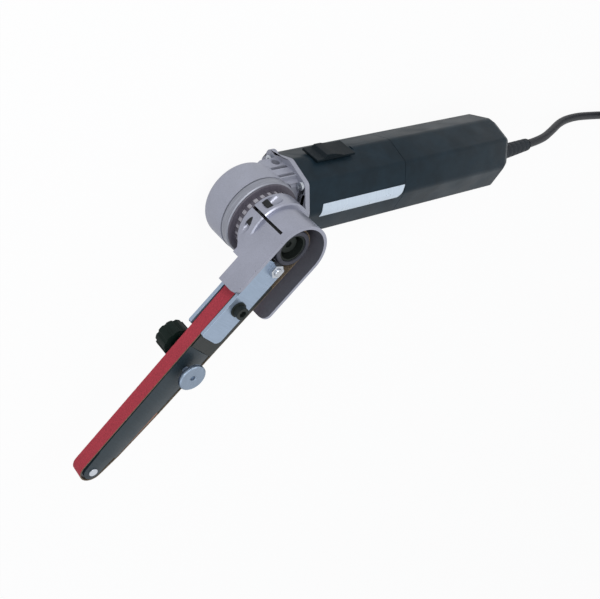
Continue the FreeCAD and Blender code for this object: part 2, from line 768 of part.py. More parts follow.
# ---------------------------------------------------------------- motor
def motor_housing():
    end = seam_x - seam_gap / 2
    shape = fused([body_prism(joint_x, joint_x + 12.2, 0.6), body_prism(joint_x + 12, end)])
    shape = shape.cut(body_prism(joint_x - 1, bulkhead_x, body_wall + 0.6))
    shape = shape.cut(body_prism(bulkhead_x + bulkhead_t, end + 1, body_wall))
    inner = body_wall + 0.5
    ribs = [body_prism(x, x + 4, inner).cut(rod(stator_r + fit, x - 1, x + 5)) for x in (62.0, 88.0)]
    bosses = [rod(4.8, joint_x, joint_x + 16, y, z).common(body_prism(joint_x, joint_x + 16, 2.0))
              for y, z in corners()]
    lip = body_prism(bulkhead_x + 4, end + 4.5, body_wall + 0.15).cut(
        body_prism(bulkhead_x, end + 6, body_wall + 2.2))
    shape = fused([shape] + ribs + bosses + [lip])
    shape = shape.cut(rod(small_bearing_r + fit, bulkhead_x + 2, bulkhead_x + 2 + small_bearing_t))
    shape = shape.cut(rod(6.0, bulkhead_x - 1, bulkhead_x + bulkhead_t + 1))
    for k in range(6):
        window = block(bulkhead_x - 1, bulkhead_x + bulkhead_t + 6, 15, 23, -4.5, 4.5)
        window.rotate(V(0, 0, 0), X, 30 + 60 * k)
        shape = shape.cut(window)
    for y, z in corners():
        shape = shape.cut(rod(screw_r + fit, joint_x - 1, joint_x + 15, y, z))
    # slide switch: recess, slot for its foot, channel for its rod
    half = slider_w / 2 + gap
    shape = shape.cut(block(slider_x - slider_travel - gap, slider_x + slider_l + 4, body_half - 1.2,
                            body_half + 2, -half, half))
    shape = shape.cut(block(slider_x + 12 - gap - slider_travel, slider_x + 24 + gap, rod_y - 2,
                            body_half + 1, -3.8, 3.8))
    return shape.cut(block(slider_x, seam_x + 6, rod_y - 0.4, rod_y + rod_t + 0.5, -3.2, 3.2))


def rear_housing():
    start = seam_x + seam_gap / 2
    half_way = tail_x + 0.55 * tail_l
    shape = fused([body_prism(start, tail_x), body_taper(tail_x, 0, half_way, tail_shoulder),
                   body_taper(half_way, tail_shoulder, end_x, tail_inset)])
    inner = fused([body_prism(start - 1, tail_x - 1, body_wall),
                   body_taper(tail_x - 1, body_wall, end_x - body_wall, tail_inset + 1.5)])
    shape = shape.cut(inner)
    for x in (switch_x + 11, switch_x + 27):
        rib = block(x, x + 3, switch_top + 0.2, body_half, -9, 9).common(body_prism(x - 1, x + 5, 1.0))
        shape = fused([shape, rib])
    # radial vents round the end
    for k in range(vent_count):
        vent = block(tail_x + 0.12 * tail_l, end_x + 1, body_half - tail_inset - 1.5, body_corner + 3,
                     -vent_w / 2, vent_w / 2)
        vent.rotate(V(0, 0, 0), X, 360.0 * (k + 0.5) / vent_count)
        shape = shape.cut(vent)
    return shape.cut(rod(boot_root_r + 0.6, end_x - 8, end_x + 1, boot_y, boot_z))


def stator():
    shape = tube(stator_r, core_r + air_gap, core_x, core_x + core_l)
    for side in (1, -1):
        shape = shape.cut(block(core_x - 1, core_x + core_l + 1, side * 19.8 - 3.5, side * 19.8 + 3.5, -9, 9))
    return shape


def field_windings():
    coils = []
    for side in (1, -1):
        coil = block(core_x - 4, core_x + core_l + 4, side * 21.2 - 1.6, side * 21.2 + 1.6, -8.5, 8.5)
        coils.append(coil)
    return coils


def motor_shaft():
    return fused([rod(3.0, 12.5, 24), rod(5.0 - fit, 23.5, 34), rod(small_bore_r - fit, 33.5, bulkhead_x + 9)])


def armature():
    shape = rod(core_r, core_x, core_x + core_l)
    for k in range(12):
        slot = block(core_x - 1, core_x + core_l + 1, core_r - 6, core_r + 1, -1.2, 1.2)
        slot.rotate(V(0, 0, 0), X, 30 * k)
        shape = shape.cut(slot)
    return shape.cut(rod(small_bore_r, core_x - 1, core_x + core_l + 1))


def commutator():
    shape = tube(commutator_r, small_bore_r, commutator_x, commutator_x + commutator_l)
    return shape


def fan():
    x1 = fan_x + fan_t
    shape = fused([rod(fan_r, x1 - 1.6, x1), rod(7.0, fan_x, x1)])
    blades = []
    for k in range(12):
        blade = block(fan_x + 0.5, x1 - 1, 8.5, fan_r - 1, -0.7, 0.7)
        blade.rotate(V(0, 14, 0), X, 22)
        blade.rotate(V(0, 0, 0), X, 30 * k)
        blades.append(blade)
    return shape.multiFuse(blades).cut(rod(small_bore_r, fan_x - 1, x1 + 1))


def brush_parts():
    """Brush holders and carbon brushes, one pair each side of the commutator."""
    holders, brushes = [], []
    x = commutator_x + commutator_l / 2
    for side in (1, -1):
        top = body_half - body_wall - 1.0
        outer = block(x - 5.5, x + 5.5, -4.5, 4.5, commutator_r + 1.5, top)
        hole = block(x - 4.1, x + 4.1, -3.1, 3.1, 0, top - 3)
        carbon = block(x - 4, x + 4, -3, 3, commutator_r + fit, 21.0)
        for pieces, piece in ((holders, outer.cut(hole)), (brushes, carbon)):
            if side < 0:
                piece.rotate(V(0, 0, 0), X, 180)
            pieces.append(piece)
    return holders, brushes


def switch_slider():
    y = body_half - 1.2 + gap
    pad = block(slider_x, slider_x + slider_l, y, y + 2.0, -slider_w / 2, slider_w / 2)
    ridge = slider_ridge(y)
    foot = block(slider_x + 12, slider_x + 24, rod_y - 0.2, y + 0.1, -3.5, 3.5)
    return fused([pad, ridge, foot])


def slider_ridge(y):
    """The thumb rest: a wedge across the slider, steep in front and ramped behind."""
    points = [V(slider_x + 7, y + 1.9, 0), V(slider_x + 10, y + 4.4, 0), V(slider_x + 16, y + 4.4, 0),
              V(slider_x + 27, y + 1.9, 0)]
    wedge = Part.Face(Part.makePolygon(points + points[:1])).extrude(V(0, 0, slider_w - 2))
    wedge.translate(V(0, 0, 1 - slider_w / 2))
    return wedge


def switch_rod():
    return block(slider_x + 24, switch_x - 0.1, rod_y, rod_y + rod_t, -2.5, 2.5)


def switch_body():
    body = block(switch_x, switch_x + 34, switch_top - 16, switch_top, -8.5, 8.5)
    nose = block(switch_x, switch_x + 8, switch_top - 0.1, rod_y + rod_t, -4, 4)
    return fused([body, nose])


# ---------------------------------------------------------------- cord
def boot_frame(shape):
    """Places what is drawn along +X from the boot's root."""
    shape = shape.copy()
    shape.rotate(V(0, 0, 0), Y, boot_tilt)
    shape.translate(V(end_x, boot_y, boot_z))
    return shape


def cord_boot():
    profile = [(cord_r, -7.5), (boot_root_r + 2.4, -7.5), (boot_root_r + 2.4, -5.0),
               (boot_root_r, -4.6), (boot_root_r, 6.0), (boot_tip_r, boot_l), (cord_r, boot_l)]
    shape = turned(profile)
    shape.rotate(V(0, 0, 0), Y, 90)
    return boot_frame(shape)


def boot_exit():
    a = math.radians(boot_tilt)
    return V(end_x + boot_l * math.cos(a), boot_y, boot_z - boot_l * math.sin(a))


def cord_route():
    """Points of the free cord from the boot to the coil, in the row frame."""
    start = boot_exit() + V(0, 0, body_half)
    a = math.radians(boot_tilt)
    return [start, start + V(24 * math.cos(a), 0, -24 * math.sin(a)), V(377, -8.2, 18.0),
            V(402, -7.0, 7.8), V(429, -7.8, cord_r), V(458, -10.8, cord_r), V(487, -14.6, cord_r),
            V(512, -16.0, cord_r)]


def cord_path(points):
    """Straight runs joined by tangent arcs, each as large as its two runs allow."""
    edges, here = [], points[0]
    for before, point, after in zip(points, points[1:], points[2:]):
        a, b = point - before, after - point
        turn = a.getAngle(b)
        shorter = min(a.Length, b.Length)
        radius = 0.45 * shorter / math.tan(turn / 2)
        reach = 0.45 * shorter
        u, w = V(a).normalize(), V(b).normalize()
        p0, p1 = point - u * reach, point + w * reach
        middle_dir = (w - u).normalize()
        centre = point + middle_dir * math.hypot(radius, reach)
        middle = centre - middle_dir * radius
        edges.append(Part.LineSegment(here, p0).toShape())
        edges.append(Part.Arc(p0, middle, p1).toShape())
        here = p1
        print("cord bend: turn %.1f deg, radius %.0f mm" % (math.degrees(turn), radius))
    edges.append(Part.LineSegment(here, points[-1]).toShape())
    return Part.Wire(edges)


def swept_cord(points):
    wire = cord_path(points)
    start = (points[1] - points[0]).normalize()
    section = Part.Wire(Part.Circle(points[0], start, cord_r).toShape())
    shape = wire.makePipeShell([section], True, False)
    area = math.pi * cord_r ** 2
    print("cord volume over section times length: %.4f" % (shape.Volume / area / wire.Length))
    return shape


def coil_solid(inset):
    x, y = coil_at
    r, half = coil_mean_r, coil_half - inset
    shape = ring(r + half, r - half, inset, 2 * coil_half - inset, x, y)
    return shape.makeChamfer(3.5, [e for e in shape.Edges if e.BoundBox.ZLength < 1e-4])


def cord_pieces():
    """Cord, coil, tie and plug, drawn in the row frame."""
    x, y = coil_at
    around = block(x + 20, x + 70, y - 4, y + 4, -1, 30)
    tie = coil_solid(0).common(around).cut(coil_solid(1.0))
    coil = coil_solid(0).cut(tie)
    lead = swept_cord(cord_route()).cut(coil_solid(0))
    top = 2 * coil_half
    px, py = x - 31, y + 29
    body = block(px - 18, px + 18, py - 17, py + 17, top, top + 17)
    body = body.makeFillet(5.0, [e for e in body.Edges if e.BoundBox.XLength > 20])
    relief = Part.makeCone(6.0, cord_r + 0.6, 22, V(px + 17.5, py, top + 8.5), X)
    plug = fused([body, relief])
    pins = [Part.makeCylinder(2.4, 19, V(px - 18, py + side * 9.5, top + 8.5), V(-1, 0, 0))
            for side in (1, -1)]
    return {"cord": lead, "cord_coil": coil, "cord_tie": tie, "plug": plug,
            "plug_pins": Part.makeCompound(pins)}


# ---------------------------------------------------------------- all pieces
def placed_bearing(outer, inner, width, along, start):
    shape = bearing(outer, inner, width)
    if along == "X":
        shape.rotate(V(0, 0, 0), Y, 90)
        shape.translate(V(start, 0, 0))
    else:
        shape.translate(V(0, 0, start))
    return shape


def main():
    os.makedirs("parts", exist_ok=True)
    save("gear_housing", gear_housing())
    save("bearing_flange", bearing_flange())
    save("index_ring", index_ring())
    save("retaining_ring", retaining_ring())
    save("flange_screws", Part.makeCompound(flange_screws()))
    save("housing_screws", Part.makeCompound(housing_screws()))
    save("front_spindle_bearing",
         placed_bearing(bearing_r, spindle_r + fit, bearing_t, "Z", front_bearing_z))
    save("rear_spindle_bearing",
         placed_bearing(small_bearing_r, small_bore_r, small_bearing_t, "Z", rear_bearing_z))
    save("front_motor_bearing", placed_bearing(motor_bearing_r, 5.0, motor_bearing_t, "X", 25.0))
    save("rear_motor_bearing",
         placed_bearing(small_bearing_r, small_bore_r, small_bearing_t, "X", bulkhead_x + 2))
    save("spindle", spindle())
    save("bevel_gear", bevel_gear())
    save("bevel_pinion", bevel_pinion())
    save("pulley_hub", pulley_hub())
    save("pulley_sleeve", pulley_sleeve())
    save("pulley_screw", pulley_screw())
    save_arm("arm_casting", arm_casting())
    save_arm("clamp_screw", clamp_screw())
    save_arm("near_side_plate", side_plate(near_plate_z))
    save_arm("far_side_plate", side_plate(far_plate_z))
    save_arm("plate_stud", plate_stud())
    save_arm("stud_nut", stud_nut())
    save_arm("stud_spacer", stud_spacer())
    save_arm("plate_bolt", plate_bolt())
    save_arm("plate_nut", plate_nut())
    save_arm("arm_carrier", arm_carrier())
    save_arm("tension_spring", tension_spring())
    save_arm("contact_arm", contact_arm())
    save_arm("shoe_pad", shoe_pad())
    save_arm("nose_roller", nose_roller())
    save_arm("nose_axle", nose_axle())
    save_arm("sanding_belt", belt())
    save_arm("tracking_screw", tracking_screw())
    save_arm("release_knob", release_knob())
    save("motor_housing", motor_housing())
    save("rear_housing", rear_housing())
    save("stator", stator())
    save("field_windings", Part.makeCompound(field_windings()))
    save("motor_shaft", motor_shaft())
    save("armature", armature())
    save("commutator", commutator())
    save("fan", fan())
    holders, brushes = brush_parts()
    save("brush_holders", Part.makeCompound(holders))
    save("carbon_brushes", Part.makeCompound(brushes))
    save("switch_slider", switch_slider())
    save("switch_rod", switch_rod())
    save("switch_body", switch_body())
    save("cord_boot", cord_boot())
    for name, shape in cord_pieces().items():
        shape.translate(V(0, 0, -body_half))
        save(name, shape)
    print("nose axle at", round(nose_x, 2))


main()
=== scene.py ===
"""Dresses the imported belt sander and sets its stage. Laid out as an add-on, run as a script."""

import json
import math

import bpy
from mathutils import Matrix, Vector, noise
from mathutils.bvhtree import BVHTree


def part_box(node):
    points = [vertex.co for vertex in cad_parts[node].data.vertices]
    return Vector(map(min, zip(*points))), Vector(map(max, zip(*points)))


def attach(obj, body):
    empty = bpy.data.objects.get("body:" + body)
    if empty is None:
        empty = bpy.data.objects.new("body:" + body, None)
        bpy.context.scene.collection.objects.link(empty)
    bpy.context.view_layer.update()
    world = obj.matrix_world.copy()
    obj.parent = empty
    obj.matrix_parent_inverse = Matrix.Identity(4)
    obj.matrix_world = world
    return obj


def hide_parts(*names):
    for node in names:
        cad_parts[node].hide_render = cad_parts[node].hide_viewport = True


bl_info = {
    "name": "Belt Sander Dressing",
    "version": (1, 0, 0),
    "blender": (4, 5, 0),
    "location": "3D View > Sidebar > Sander",
    "description": "Finishes, belt, cord, plate and stage of a handheld belt sander",
    "category": "Object",
}

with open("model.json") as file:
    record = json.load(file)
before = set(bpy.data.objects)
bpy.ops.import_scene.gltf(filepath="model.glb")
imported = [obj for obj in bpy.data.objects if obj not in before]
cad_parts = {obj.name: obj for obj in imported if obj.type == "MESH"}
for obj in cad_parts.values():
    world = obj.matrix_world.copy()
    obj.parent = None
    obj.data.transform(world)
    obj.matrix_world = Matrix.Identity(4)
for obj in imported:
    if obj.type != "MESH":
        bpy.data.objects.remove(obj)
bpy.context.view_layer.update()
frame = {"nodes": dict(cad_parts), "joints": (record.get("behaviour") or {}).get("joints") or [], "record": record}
NODES = frame["nodes"]
RECORD = frame["record"]
SLOT_OF = {row["node"]: row["material_slot"] for row in RECORD["subparts"]}
BODY_OF = {node: body for body, nodes in RECORD["behaviour"]["bodies"].items() for node in nodes}
JOINTS = {joint["name"]: joint for joint in frame["joints"]}
MM = 0.001

ARM_ALONG = Vector(JOINTS["tension_slide"]["axis"]).normalized()
ARM_HEADING = math.atan2(ARM_ALONG.y, ARM_ALONG.x)
SPINDLE = Vector(JOINTS["drive_spin"]["pos_m"])
ARM_TO_ROW = Matrix.Translation((SPINDLE.x, SPINDLE.y, 0)) @ Matrix.Rotation(ARM_HEADING, 4, "Z")
ROW_TO_ARM = ARM_TO_ROW.inverted()
NOSE_X = (Vector(JOINTS["nose_spin"]["pos_m"]) - SPINDLE).to_2d().length
MOTOR_Z = JOINTS["rotor_spin"]["pos_m"][2]
MM_TO_ROW = Matrix.Translation((0, 0, MOTOR_Z)) @ Matrix.Scale(MM, 4)
BELT_LOW, BELT_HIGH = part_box("sanding_belt")
HOUSING_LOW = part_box("motor_housing")[0]
REAR_LOW, REAR_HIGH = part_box("rear_housing")
COIL_LOW, COIL_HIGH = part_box("cord_coil")
PLUG_LOW, PLUG_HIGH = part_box("plug")
PLUG_AXIS = Vector((PLUG_HIGH.x, (PLUG_LOW.y + PLUG_HIGH.y) / 2, PLUG_LOW.z + 8.5 * MM))


# ------------------------------------------------------------------ sizes and colours
class SanderSizes(bpy.types.PropertyGroup):
    """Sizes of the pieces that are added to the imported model."""

    cord_diameter: bpy.props.FloatProperty(
        name="Cord diameter", description="Diameter of the mains cord",
        default=8.0 * MM, min=4.0 * MM, max=14.0 * MM, unit="LENGTH")
    coil_points: bpy.props.IntProperty(
        name="Points per turn", description="Control points in each turn of the coiled cord",
        default=16, min=12, max=48)
    plate_length: bpy.props.FloatProperty(
        name="Plate length", description="Length of the bare plate along the body",
        default=84.0 * MM, unit="LENGTH")
    plate_width: bpy.props.FloatProperty(
        name="Plate width", description="Width of the bare plate across the body",
        default=10.5 * MM, unit="LENGTH")
    body_half: bpy.props.FloatProperty(
        name="Body half width", description="Motor axis to the blunt ridge along each side of the body",
        default=32.0 * MM, unit="LENGTH")
    body_corner: bpy.props.FloatProperty(
        name="Body corner", description="Motor axis to a sharp corner of the body's section",
        default=34.0 * MM, unit="LENGTH")
    body_round: bpy.props.FloatProperty(
        name="Body rounding", description="Rounding of the body's long corners",
        default=5.0 * MM, unit="LENGTH")
    ridge_round: bpy.props.FloatProperty(
        name="Ridge rounding", description="Rounding of the blunt ridge along each side",
        default=8.0 * MM, unit="LENGTH")
    head_back: bpy.props.FloatProperty(
        name="Head back", description="Motor axis down to the gear head's flat back",
        default=12.0 * MM, unit="LENGTH")
    head_round: bpy.props.FloatProperty(
        name="Head rounding", description="Rounding round the gear head's back",
        default=8.0 * MM, unit="LENGTH")
    index_windows: bpy.props.IntProperty(
        name="Index windows", description="Windows round the index ring", default=27, min=12, max=48)
    cast_edge: bpy.props.FloatProperty(
        name="Cast edge radius", description="Rounding of the castings' edges",
        default=0.55 * MM, unit="LENGTH")
    moulded_edge: bpy.props.FloatProperty(
        name="Moulded edge radius", description="Rounding of the plastic housing's edges",
        default=0.5 * MM, unit="LENGTH")
    sheet_edge: bpy.props.FloatProperty(
        name="Sheet edge radius", description="Rounding of sheet and turned metal edges",
        default=0.2 * MM, unit="LENGTH")
    knurl_count: bpy.props.IntProperty(
        name="Knurls", description="Knurls round the tracking wheel's rim", default=64, min=24, max=120)


class SanderColours(bpy.types.PropertyGroup):
    """Main colours, as they look in even light."""

    casting: bpy.props.FloatVectorProperty(
        name="Casting", description="Bead-blasted gear housing", subtype="COLOR",
        default=(0.63, 0.64, 0.69), min=0, max=1)
    guard: bpy.props.FloatVectorProperty(
        name="Guard", description="Cast belt guard", subtype="COLOR",
        default=(0.61, 0.62, 0.675), min=0, max=1)
    plastic: bpy.props.FloatVectorProperty(
        name="Plastic", description="Moulded motor housing", subtype="COLOR",
        default=(0.10, 0.155, 0.19), min=0, max=1)
    grit: bpy.props.FloatVectorProperty(
        name="Grit", description="Abrasive side of the belt", subtype="COLOR",
        default=(0.66, 0.215, 0.265), min=0, max=1)
    zinc: bpy.props.FloatVectorProperty(
        name="Zinc", description="Zinc-plated side plates and wheel", subtype="COLOR",
        default=(0.60, 0.665, 0.745), min=0, max=1)
    slate: bpy.props.FloatVectorProperty(
        name="Contact arm", description="Painted contact arm", subtype="COLOR",
        default=(0.135, 0.185, 0.215), min=0, max=1)


def sizes():
    return bpy.context.scene.sander_sizes


def colours():
    return bpy.context.scene.sander_colours


# ------------------------------------------------------------------ finishes
def linear(colour):
    """A colour as it looks on a screen, as the linear values that the shaders take."""
    return tuple(c / 12.92 if c <= 0.04045 else ((c + 0.055) / 1.055) ** 2.4 for c in colour)


def shade(colour, factor):
    return tuple(min(1.0, c * factor) for c in colour)


class Finish:
    """One material, built up from a Principled shader with named steps."""

    def __init__(self, name, colour, metallic=0.0, roughness=0.5, **sockets):
        self.material = bpy.data.materials.new(name)
        self.material.use_nodes = True
        self.tree = self.material.node_tree
        self.shader = self.tree.nodes["Principled BSDF"]
        self.shader.inputs["Base Color"].default_value = (*linear(colour), 1)
        self.shader.inputs["Metallic"].default_value = metallic
        self.shader.inputs["Roughness"].default_value = roughness
        for socket, value in sockets.items():
            self.shader.inputs[socket.replace("_", " ")].default_value = value
        self.bump = None

    def add(self, kind, **values):
        made = self.tree.nodes.new("ShaderNode" + kind)
        for name, value in values.items():
            if hasattr(made, name):
                setattr(made, name, value)
            else:
                made.inputs[name.replace("_", " ")].default_value = value
        return made

    def join(self, source, output, target, socket):
        self.tree.links.new(source.outputs[output], target.inputs[socket])

    def place(self, stretch=(1, 1, 1), turn=0.0, at=(0, 0, 0)):
        """Object coordinates, moved, turned about Z and stretched."""
        coordinates = self.add("TexCoord")
        mapping = self.add("Mapping")
        mapping.vector_type = "TEXTURE"
        mapping.inputs["Location"].default_value = at
        mapping.inputs["Rotation"].default_value = (0, 0, turn)
        mapping.inputs["Scale"].default_value = stretch
        self.join(coordinates, "Object", mapping, "Vector")
        return mapping

    def speckle(self, scale, detail=3.0, roughness=0.6, where=None):
        """Noise with cells of about 1 / scale metres."""
        made = self.add("TexNoise", Scale=scale, Detail=detail, Roughness=roughness)
        self.join(where or self.place(), "Vector", made, "Vector")
        return made

    def ramp(self, source, output, stops):
        made = self.add("ValToRGB")
        made.color_ramp.elements[0].position = stops[0][0]
        made.color_ramp.elements[0].color = (*linear(stops[0][1]), 1)
        made.color_ramp.elements[1].position = stops[-1][0]
        made.color_ramp.elements[1].color = (*linear(stops[-1][1]), 1)
        for position, colour in stops[1:-1]:
            stop = made.color_ramp.elements.new(position)
            stop.color = (*linear(colour), 1)
        self.join(source, output, made, "Fac")
        return made

    def mottled(self, dark, light, scale, detail=3.0, low=0.35, high=0.65, where=None):
        """Colour that wanders between two tones."""
        ramp = self.ramp(self.speckle(scale, detail, where=where), "Fac", [(low, dark), (high, light)])
        self.join(ramp, "Color", self.shader, "Base Color")
        return self

    def layered(self, coarse, fine, coarse_scale, fine_scale, share=0.5, where=None):
        """Two mottles, a broad and a fine one, blended by share."""
        first = self.ramp(self.speckle(coarse_scale, 4.0, where=where), "Fac",
                          [(0.3, coarse[0]), (0.7, coarse[1])])
        second = self.ramp(self.speckle(fine_scale, 2.0, where=where), "Fac",
                           [(0.35, fine[0]), (0.65, fine[1])])
        mix = self.add("Mix", data_type="RGBA")
        mix.inputs["Factor"].default_value = share
        self.tree.links.new(first.outputs["Color"], mix.inputs[6])
        self.tree.links.new(second.outputs["Color"], mix.inputs[7])
        self.tree.links.new(mix.outputs[2], self.shader.inputs["Base Color"])
        return self

    def toned(self, colour, coarse, fine, coarse_scale, fine_scale, share=0.5, where=None):
        """Layered mottles whose tones are given as factors of one colour."""
        tones = [[shade(colour, factor) for factor in pair] for pair in (coarse, fine)]
        return self.layered(*tones, coarse_scale, fine_scale, share, where)

    def gloss_between(self, low, high, scale, where=None):
        """Roughness that wanders between two values."""
        spread = self.add("MapRange", From_Min=0.3, From_Max=0.7, To_Min=low, To_Max=high)
        self.join(self.speckle(scale, 3.0, where=where), "Fac", spread, "Value")
        self.join(spread, "Result", self.shader, "Roughness")
        return self

    def raised(self, source, output, strength, distance):
        """Adds a bump on top of any before it."""
        made = self.add("Bump", Strength=strength, Distance=distance)
        self.join(source, output, made, "Height")
        if self.bump is not None:
            self.join(self.bump, "Normal", made, "Normal")
        self.join(made, "Normal", self.shader, "Normal")
        self.bump = made
        return self

    def grain(self, scale, strength, distance, detail=2.0, where=None):
        return self.raised(self.speckle(scale, detail, where=where), "Fac", strength, distance)


def cast_finish(name, colour, roughness=0.5, metallic=0.55):
    """Blasted die-cast aluminium: faint cloudy tone and a fine pebbled skin."""
    finish = Finish(name, colour, metallic=metallic, roughness=roughness)
    finish.toned(colour, (0.93, 1.05), (0.92, 1.07), 45.0, 1400.0, 0.4)
    finish.gloss_between(roughness - 0.07, roughness + 0.08, 90.0)
    finish.grain(900.0, 0.22, 0.00025)
    finish.grain(70.0, 0.25, 0.0012)
    return finish.material


def turned_finish(name, colour, roughness=0.3, metallic=0.9, stretch=(1, 1, 0.02)):
    """Turned or ground metal: fine lines round the axis and a satin gloss."""
    finish = Finish(name, colour, metallic=metallic, roughness=roughness)
    where = finish.place(stretch)
    finish.mottled(shade(colour, 0.9), shade(colour, 1.08), 60.0, 4.0, where=where)
    finish.gloss_between(roughness - 0.08, roughness + 0.1, 55.0, where=where)
    finish.grain(60.0, 0.12, 0.0001, where=where)
    return finish.material


def zinc_finish(name, colour, turn=0.0):
    """Zinc-plated sheet: bluish, with rolled lines along the part and small stains."""
    finish = Finish(name, colour, metallic=0.7, roughness=0.32)
    where = finish.place((0.06, 1.0, 1.0), turn=turn)
    finish.toned(colour, (0.93, 1.06), (0.95, 1.04), 70.0, 600.0, where=where)
    finish.gloss_between(0.26, 0.44, 130.0)
    finish.grain(420.0, 0.1, 0.0001, where=where)
    return finish.material


def plastic_finish(name, colour, roughness=0.46, pebble=1500.0, strength=0.3):
    """Moulded plastic with a fine leather-like grain."""
    finish = Finish(name, colour, roughness=roughness, Specular_IOR_Level=0.14)
    finish.mottled(shade(colour, 0.9), shade(colour, 1.1), 60.0)
    finish.gloss_between(roughness - 0.05, roughness + 0.07, 35.0)
    cells = finish.add("TexVoronoi", Scale=pebble, feature="SMOOTH_F1")
    finish.join(finish.place(), "Vector", cells, "Vector")
    finish.raised(cells, "Distance", strength, 0.00012)
    return finish.material


def rubber_finish(name, colour, roughness=0.6):
    """Matt rubber with a dusty bloom."""
    finish = Finish(name, colour, roughness=roughness, Specular_IOR_Level=0.35)
    finish.toned(colour, (0.85, 1.2), (0.9, 1.15), 80.0, 900.0)
    finish.grain(1100.0, 0.2, 0.00012)
    return finish.material


def painted_finish(name, colour, roughness=0.4, turn=0.0):
    """Semi-matt paint on steel, with faint drawn lines along the part."""
    finish = Finish(name, colour, metallic=0.15, roughness=roughness, Specular_IOR_Level=0.5)
    where = finish.place((0.08, 1.0, 1.0), turn=turn)
    finish.toned(colour, (0.86, 1.14), (0.92, 1.08), 80.0, 900.0, 0.45, where=where)
    finish.gloss_between(roughness - 0.08, roughness + 0.1, 50.0)
    finish.grain(700.0, 0.16, 0.0001)
    return finish.material


def grit_finish(name, colour):
    """Abrasive grain bonded to cloth: sharp speckle and a hard, open surface."""
    finish = Finish(name, colour, roughness=0.75, Specular_IOR_Level=0.3)
    finish.toned(colour, (0.93, 1.05), (0.72, 1.22), 25.0, 2400.0, 0.6)
    grains = finish.add("TexVoronoi", Scale=3600.0)
    finish.join(finish.place(), "Vector", grains, "Vector")
    finish.raised(grains, "Distance", 0.8, 0.0002)
    return finish.material


def cloth_finish(name, colour):
    """Woven backing cloth of the belt, seen on its inside and edges."""
    finish = Finish(name, colour, roughness=0.85, Specular_IOR_Level=0.2)
    finish.mottled(shade(colour, 0.82), shade(colour, 1.12), 900.0)
    along = finish.place(turn=ARM_HEADING)
    weave = finish.add("TexWave", Scale=1300.0, Distortion=1.0, bands_direction="Z")
    finish.join(along, "Vector", weave, "Vector")
    finish.raised(weave, "Fac", 0.4, 0.0001)
    return finish.material


def finish_of(slot):
    """The finish of a record slot, made once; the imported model's own plain one has the slot's name."""
    name = slot + "_finish"
    if name not in bpy.data.materials:
        FINISHES[slot](name)
    return bpy.data.materials[name]


FINISHES = {
    "cast_housing": lambda n: cast_finish(n, colours().casting, 0.55, 0.35),
    "machined_flange": lambda n: turned_finish(n, (0.57, 0.58, 0.62), 0.45, 0.5),
    "dark_ring": lambda n: painted_finish(n, (0.33, 0.315, 0.355), 0.5),
    "dark_steel": lambda n: turned_finish(n, (0.09, 0.12, 0.11), 0.6, 0.3),
    "screw_steel": lambda n: turned_finish(n, (0.72, 0.74, 0.77), 0.28, 0.9),
    "bearing_steel": lambda n: turned_finish(n, (0.72, 0.73, 0.75), 0.25, 0.95),
    "ground_steel": lambda n: turned_finish(n, (0.68, 0.69, 0.71), 0.22, 0.95),
    "gear_steel": lambda n: turned_finish(n, (0.52, 0.52, 0.54), 0.35, 0.9),
    "sleeve_rubber": lambda n: rubber_finish(n, (0.25, 0.255, 0.29), 0.6),
    "cast_guard": lambda n: cast_finish(n, colours().guard, 0.34, 0.6),
    "zinc_plate": lambda n: zinc_finish(n, colours().zinc, ARM_HEADING),
    "arm_black": lambda n: painted_finish(n, (0.125, 0.145, 0.145), 0.45, ARM_HEADING),
    "spring_steel": lambda n: turned_finish(n, (0.50, 0.50, 0.52), 0.35, 0.9),
    "arm_slate": lambda n: painted_finish(n, colours().slate, 0.42, ARM_HEADING),
    "pad_brown": lambda n: rubber_finish(n, (0.56, 0.43, 0.38), 0.8),
    "roller_steel": lambda n: turned_finish(n, (0.35, 0.35, 0.37), 0.4, 0.8),
    "abrasive_red": lambda n: grit_finish(n, colours().grit),
    "zinc_knob": lambda n: zinc_finish(n, shade(colours().zinc, 0.88)),
    "knob_black": lambda n: plastic_finish(n, (0.055, 0.105, 0.09), 0.55),
    "housing_black": lambda n: plastic_finish(n, colours().plastic),
    "lamination": lambda n: turned_finish(n, (0.40, 0.40, 0.42), 0.45, 0.7, (0.02, 1, 1)),
    "copper": lambda n: turned_finish(n, (0.72, 0.44, 0.30), 0.35, 0.9),
    "fan_plastic": lambda n: plastic_finish(n, (0.16, 0.16, 0.17), 0.5),
    "brass_holder": lambda n: turned_finish(n, (0.76, 0.64, 0.38), 0.35, 0.9),
    "carbon": lambda n: rubber_finish(n, (0.16, 0.16, 0.16), 0.7),
    "slider_black": lambda n: plastic_finish(n, (0.04, 0.085, 0.11), 0.52),
    "boot_rubber": lambda n: rubber_finish(n, (0.10, 0.125, 0.15), 0.55),
    "cord_black": lambda n: rubber_finish(n, (0.125, 0.135, 0.155), 0.5),
    "tie_black": lambda n: plastic_finish(n, (0.11, 0.11, 0.12), 0.4),
    "plug_black": lambda n: plastic_finish(n, (0.12, 0.125, 0.135), 0.5),
    "pin_metal": lambda n: turned_finish(n, (0.80, 0.79, 0.76), 0.25, 0.95),
}


# ------------------------------------------------------------------ modelling helpers
def only(piece):
    """Selects one piece alone and makes it active."""
    if bpy.context.object is not None and bpy.context.object.mode != "OBJECT":
        bpy.ops.object.mode_set(mode="OBJECT")
    bpy.ops.object.select_all(action="DESELECT")
    piece.hide_set(False)
    piece.select_set(True)
    bpy.context.view_layer.objects.active = piece
    return piece


def apply_modifiers(piece):
    only(piece)
    for modifier in list(piece.modifiers):
        bpy.ops.object.modifier_apply(modifier=modifier.name)
    return piece


def settle(piece, name):
    """Names a piece and moves its place into its mesh."""
    only(piece)
    piece.name = name
    piece.data.name = name
    bpy.ops.object.transform_apply(location=True, rotation=True, scale=True)
    return piece


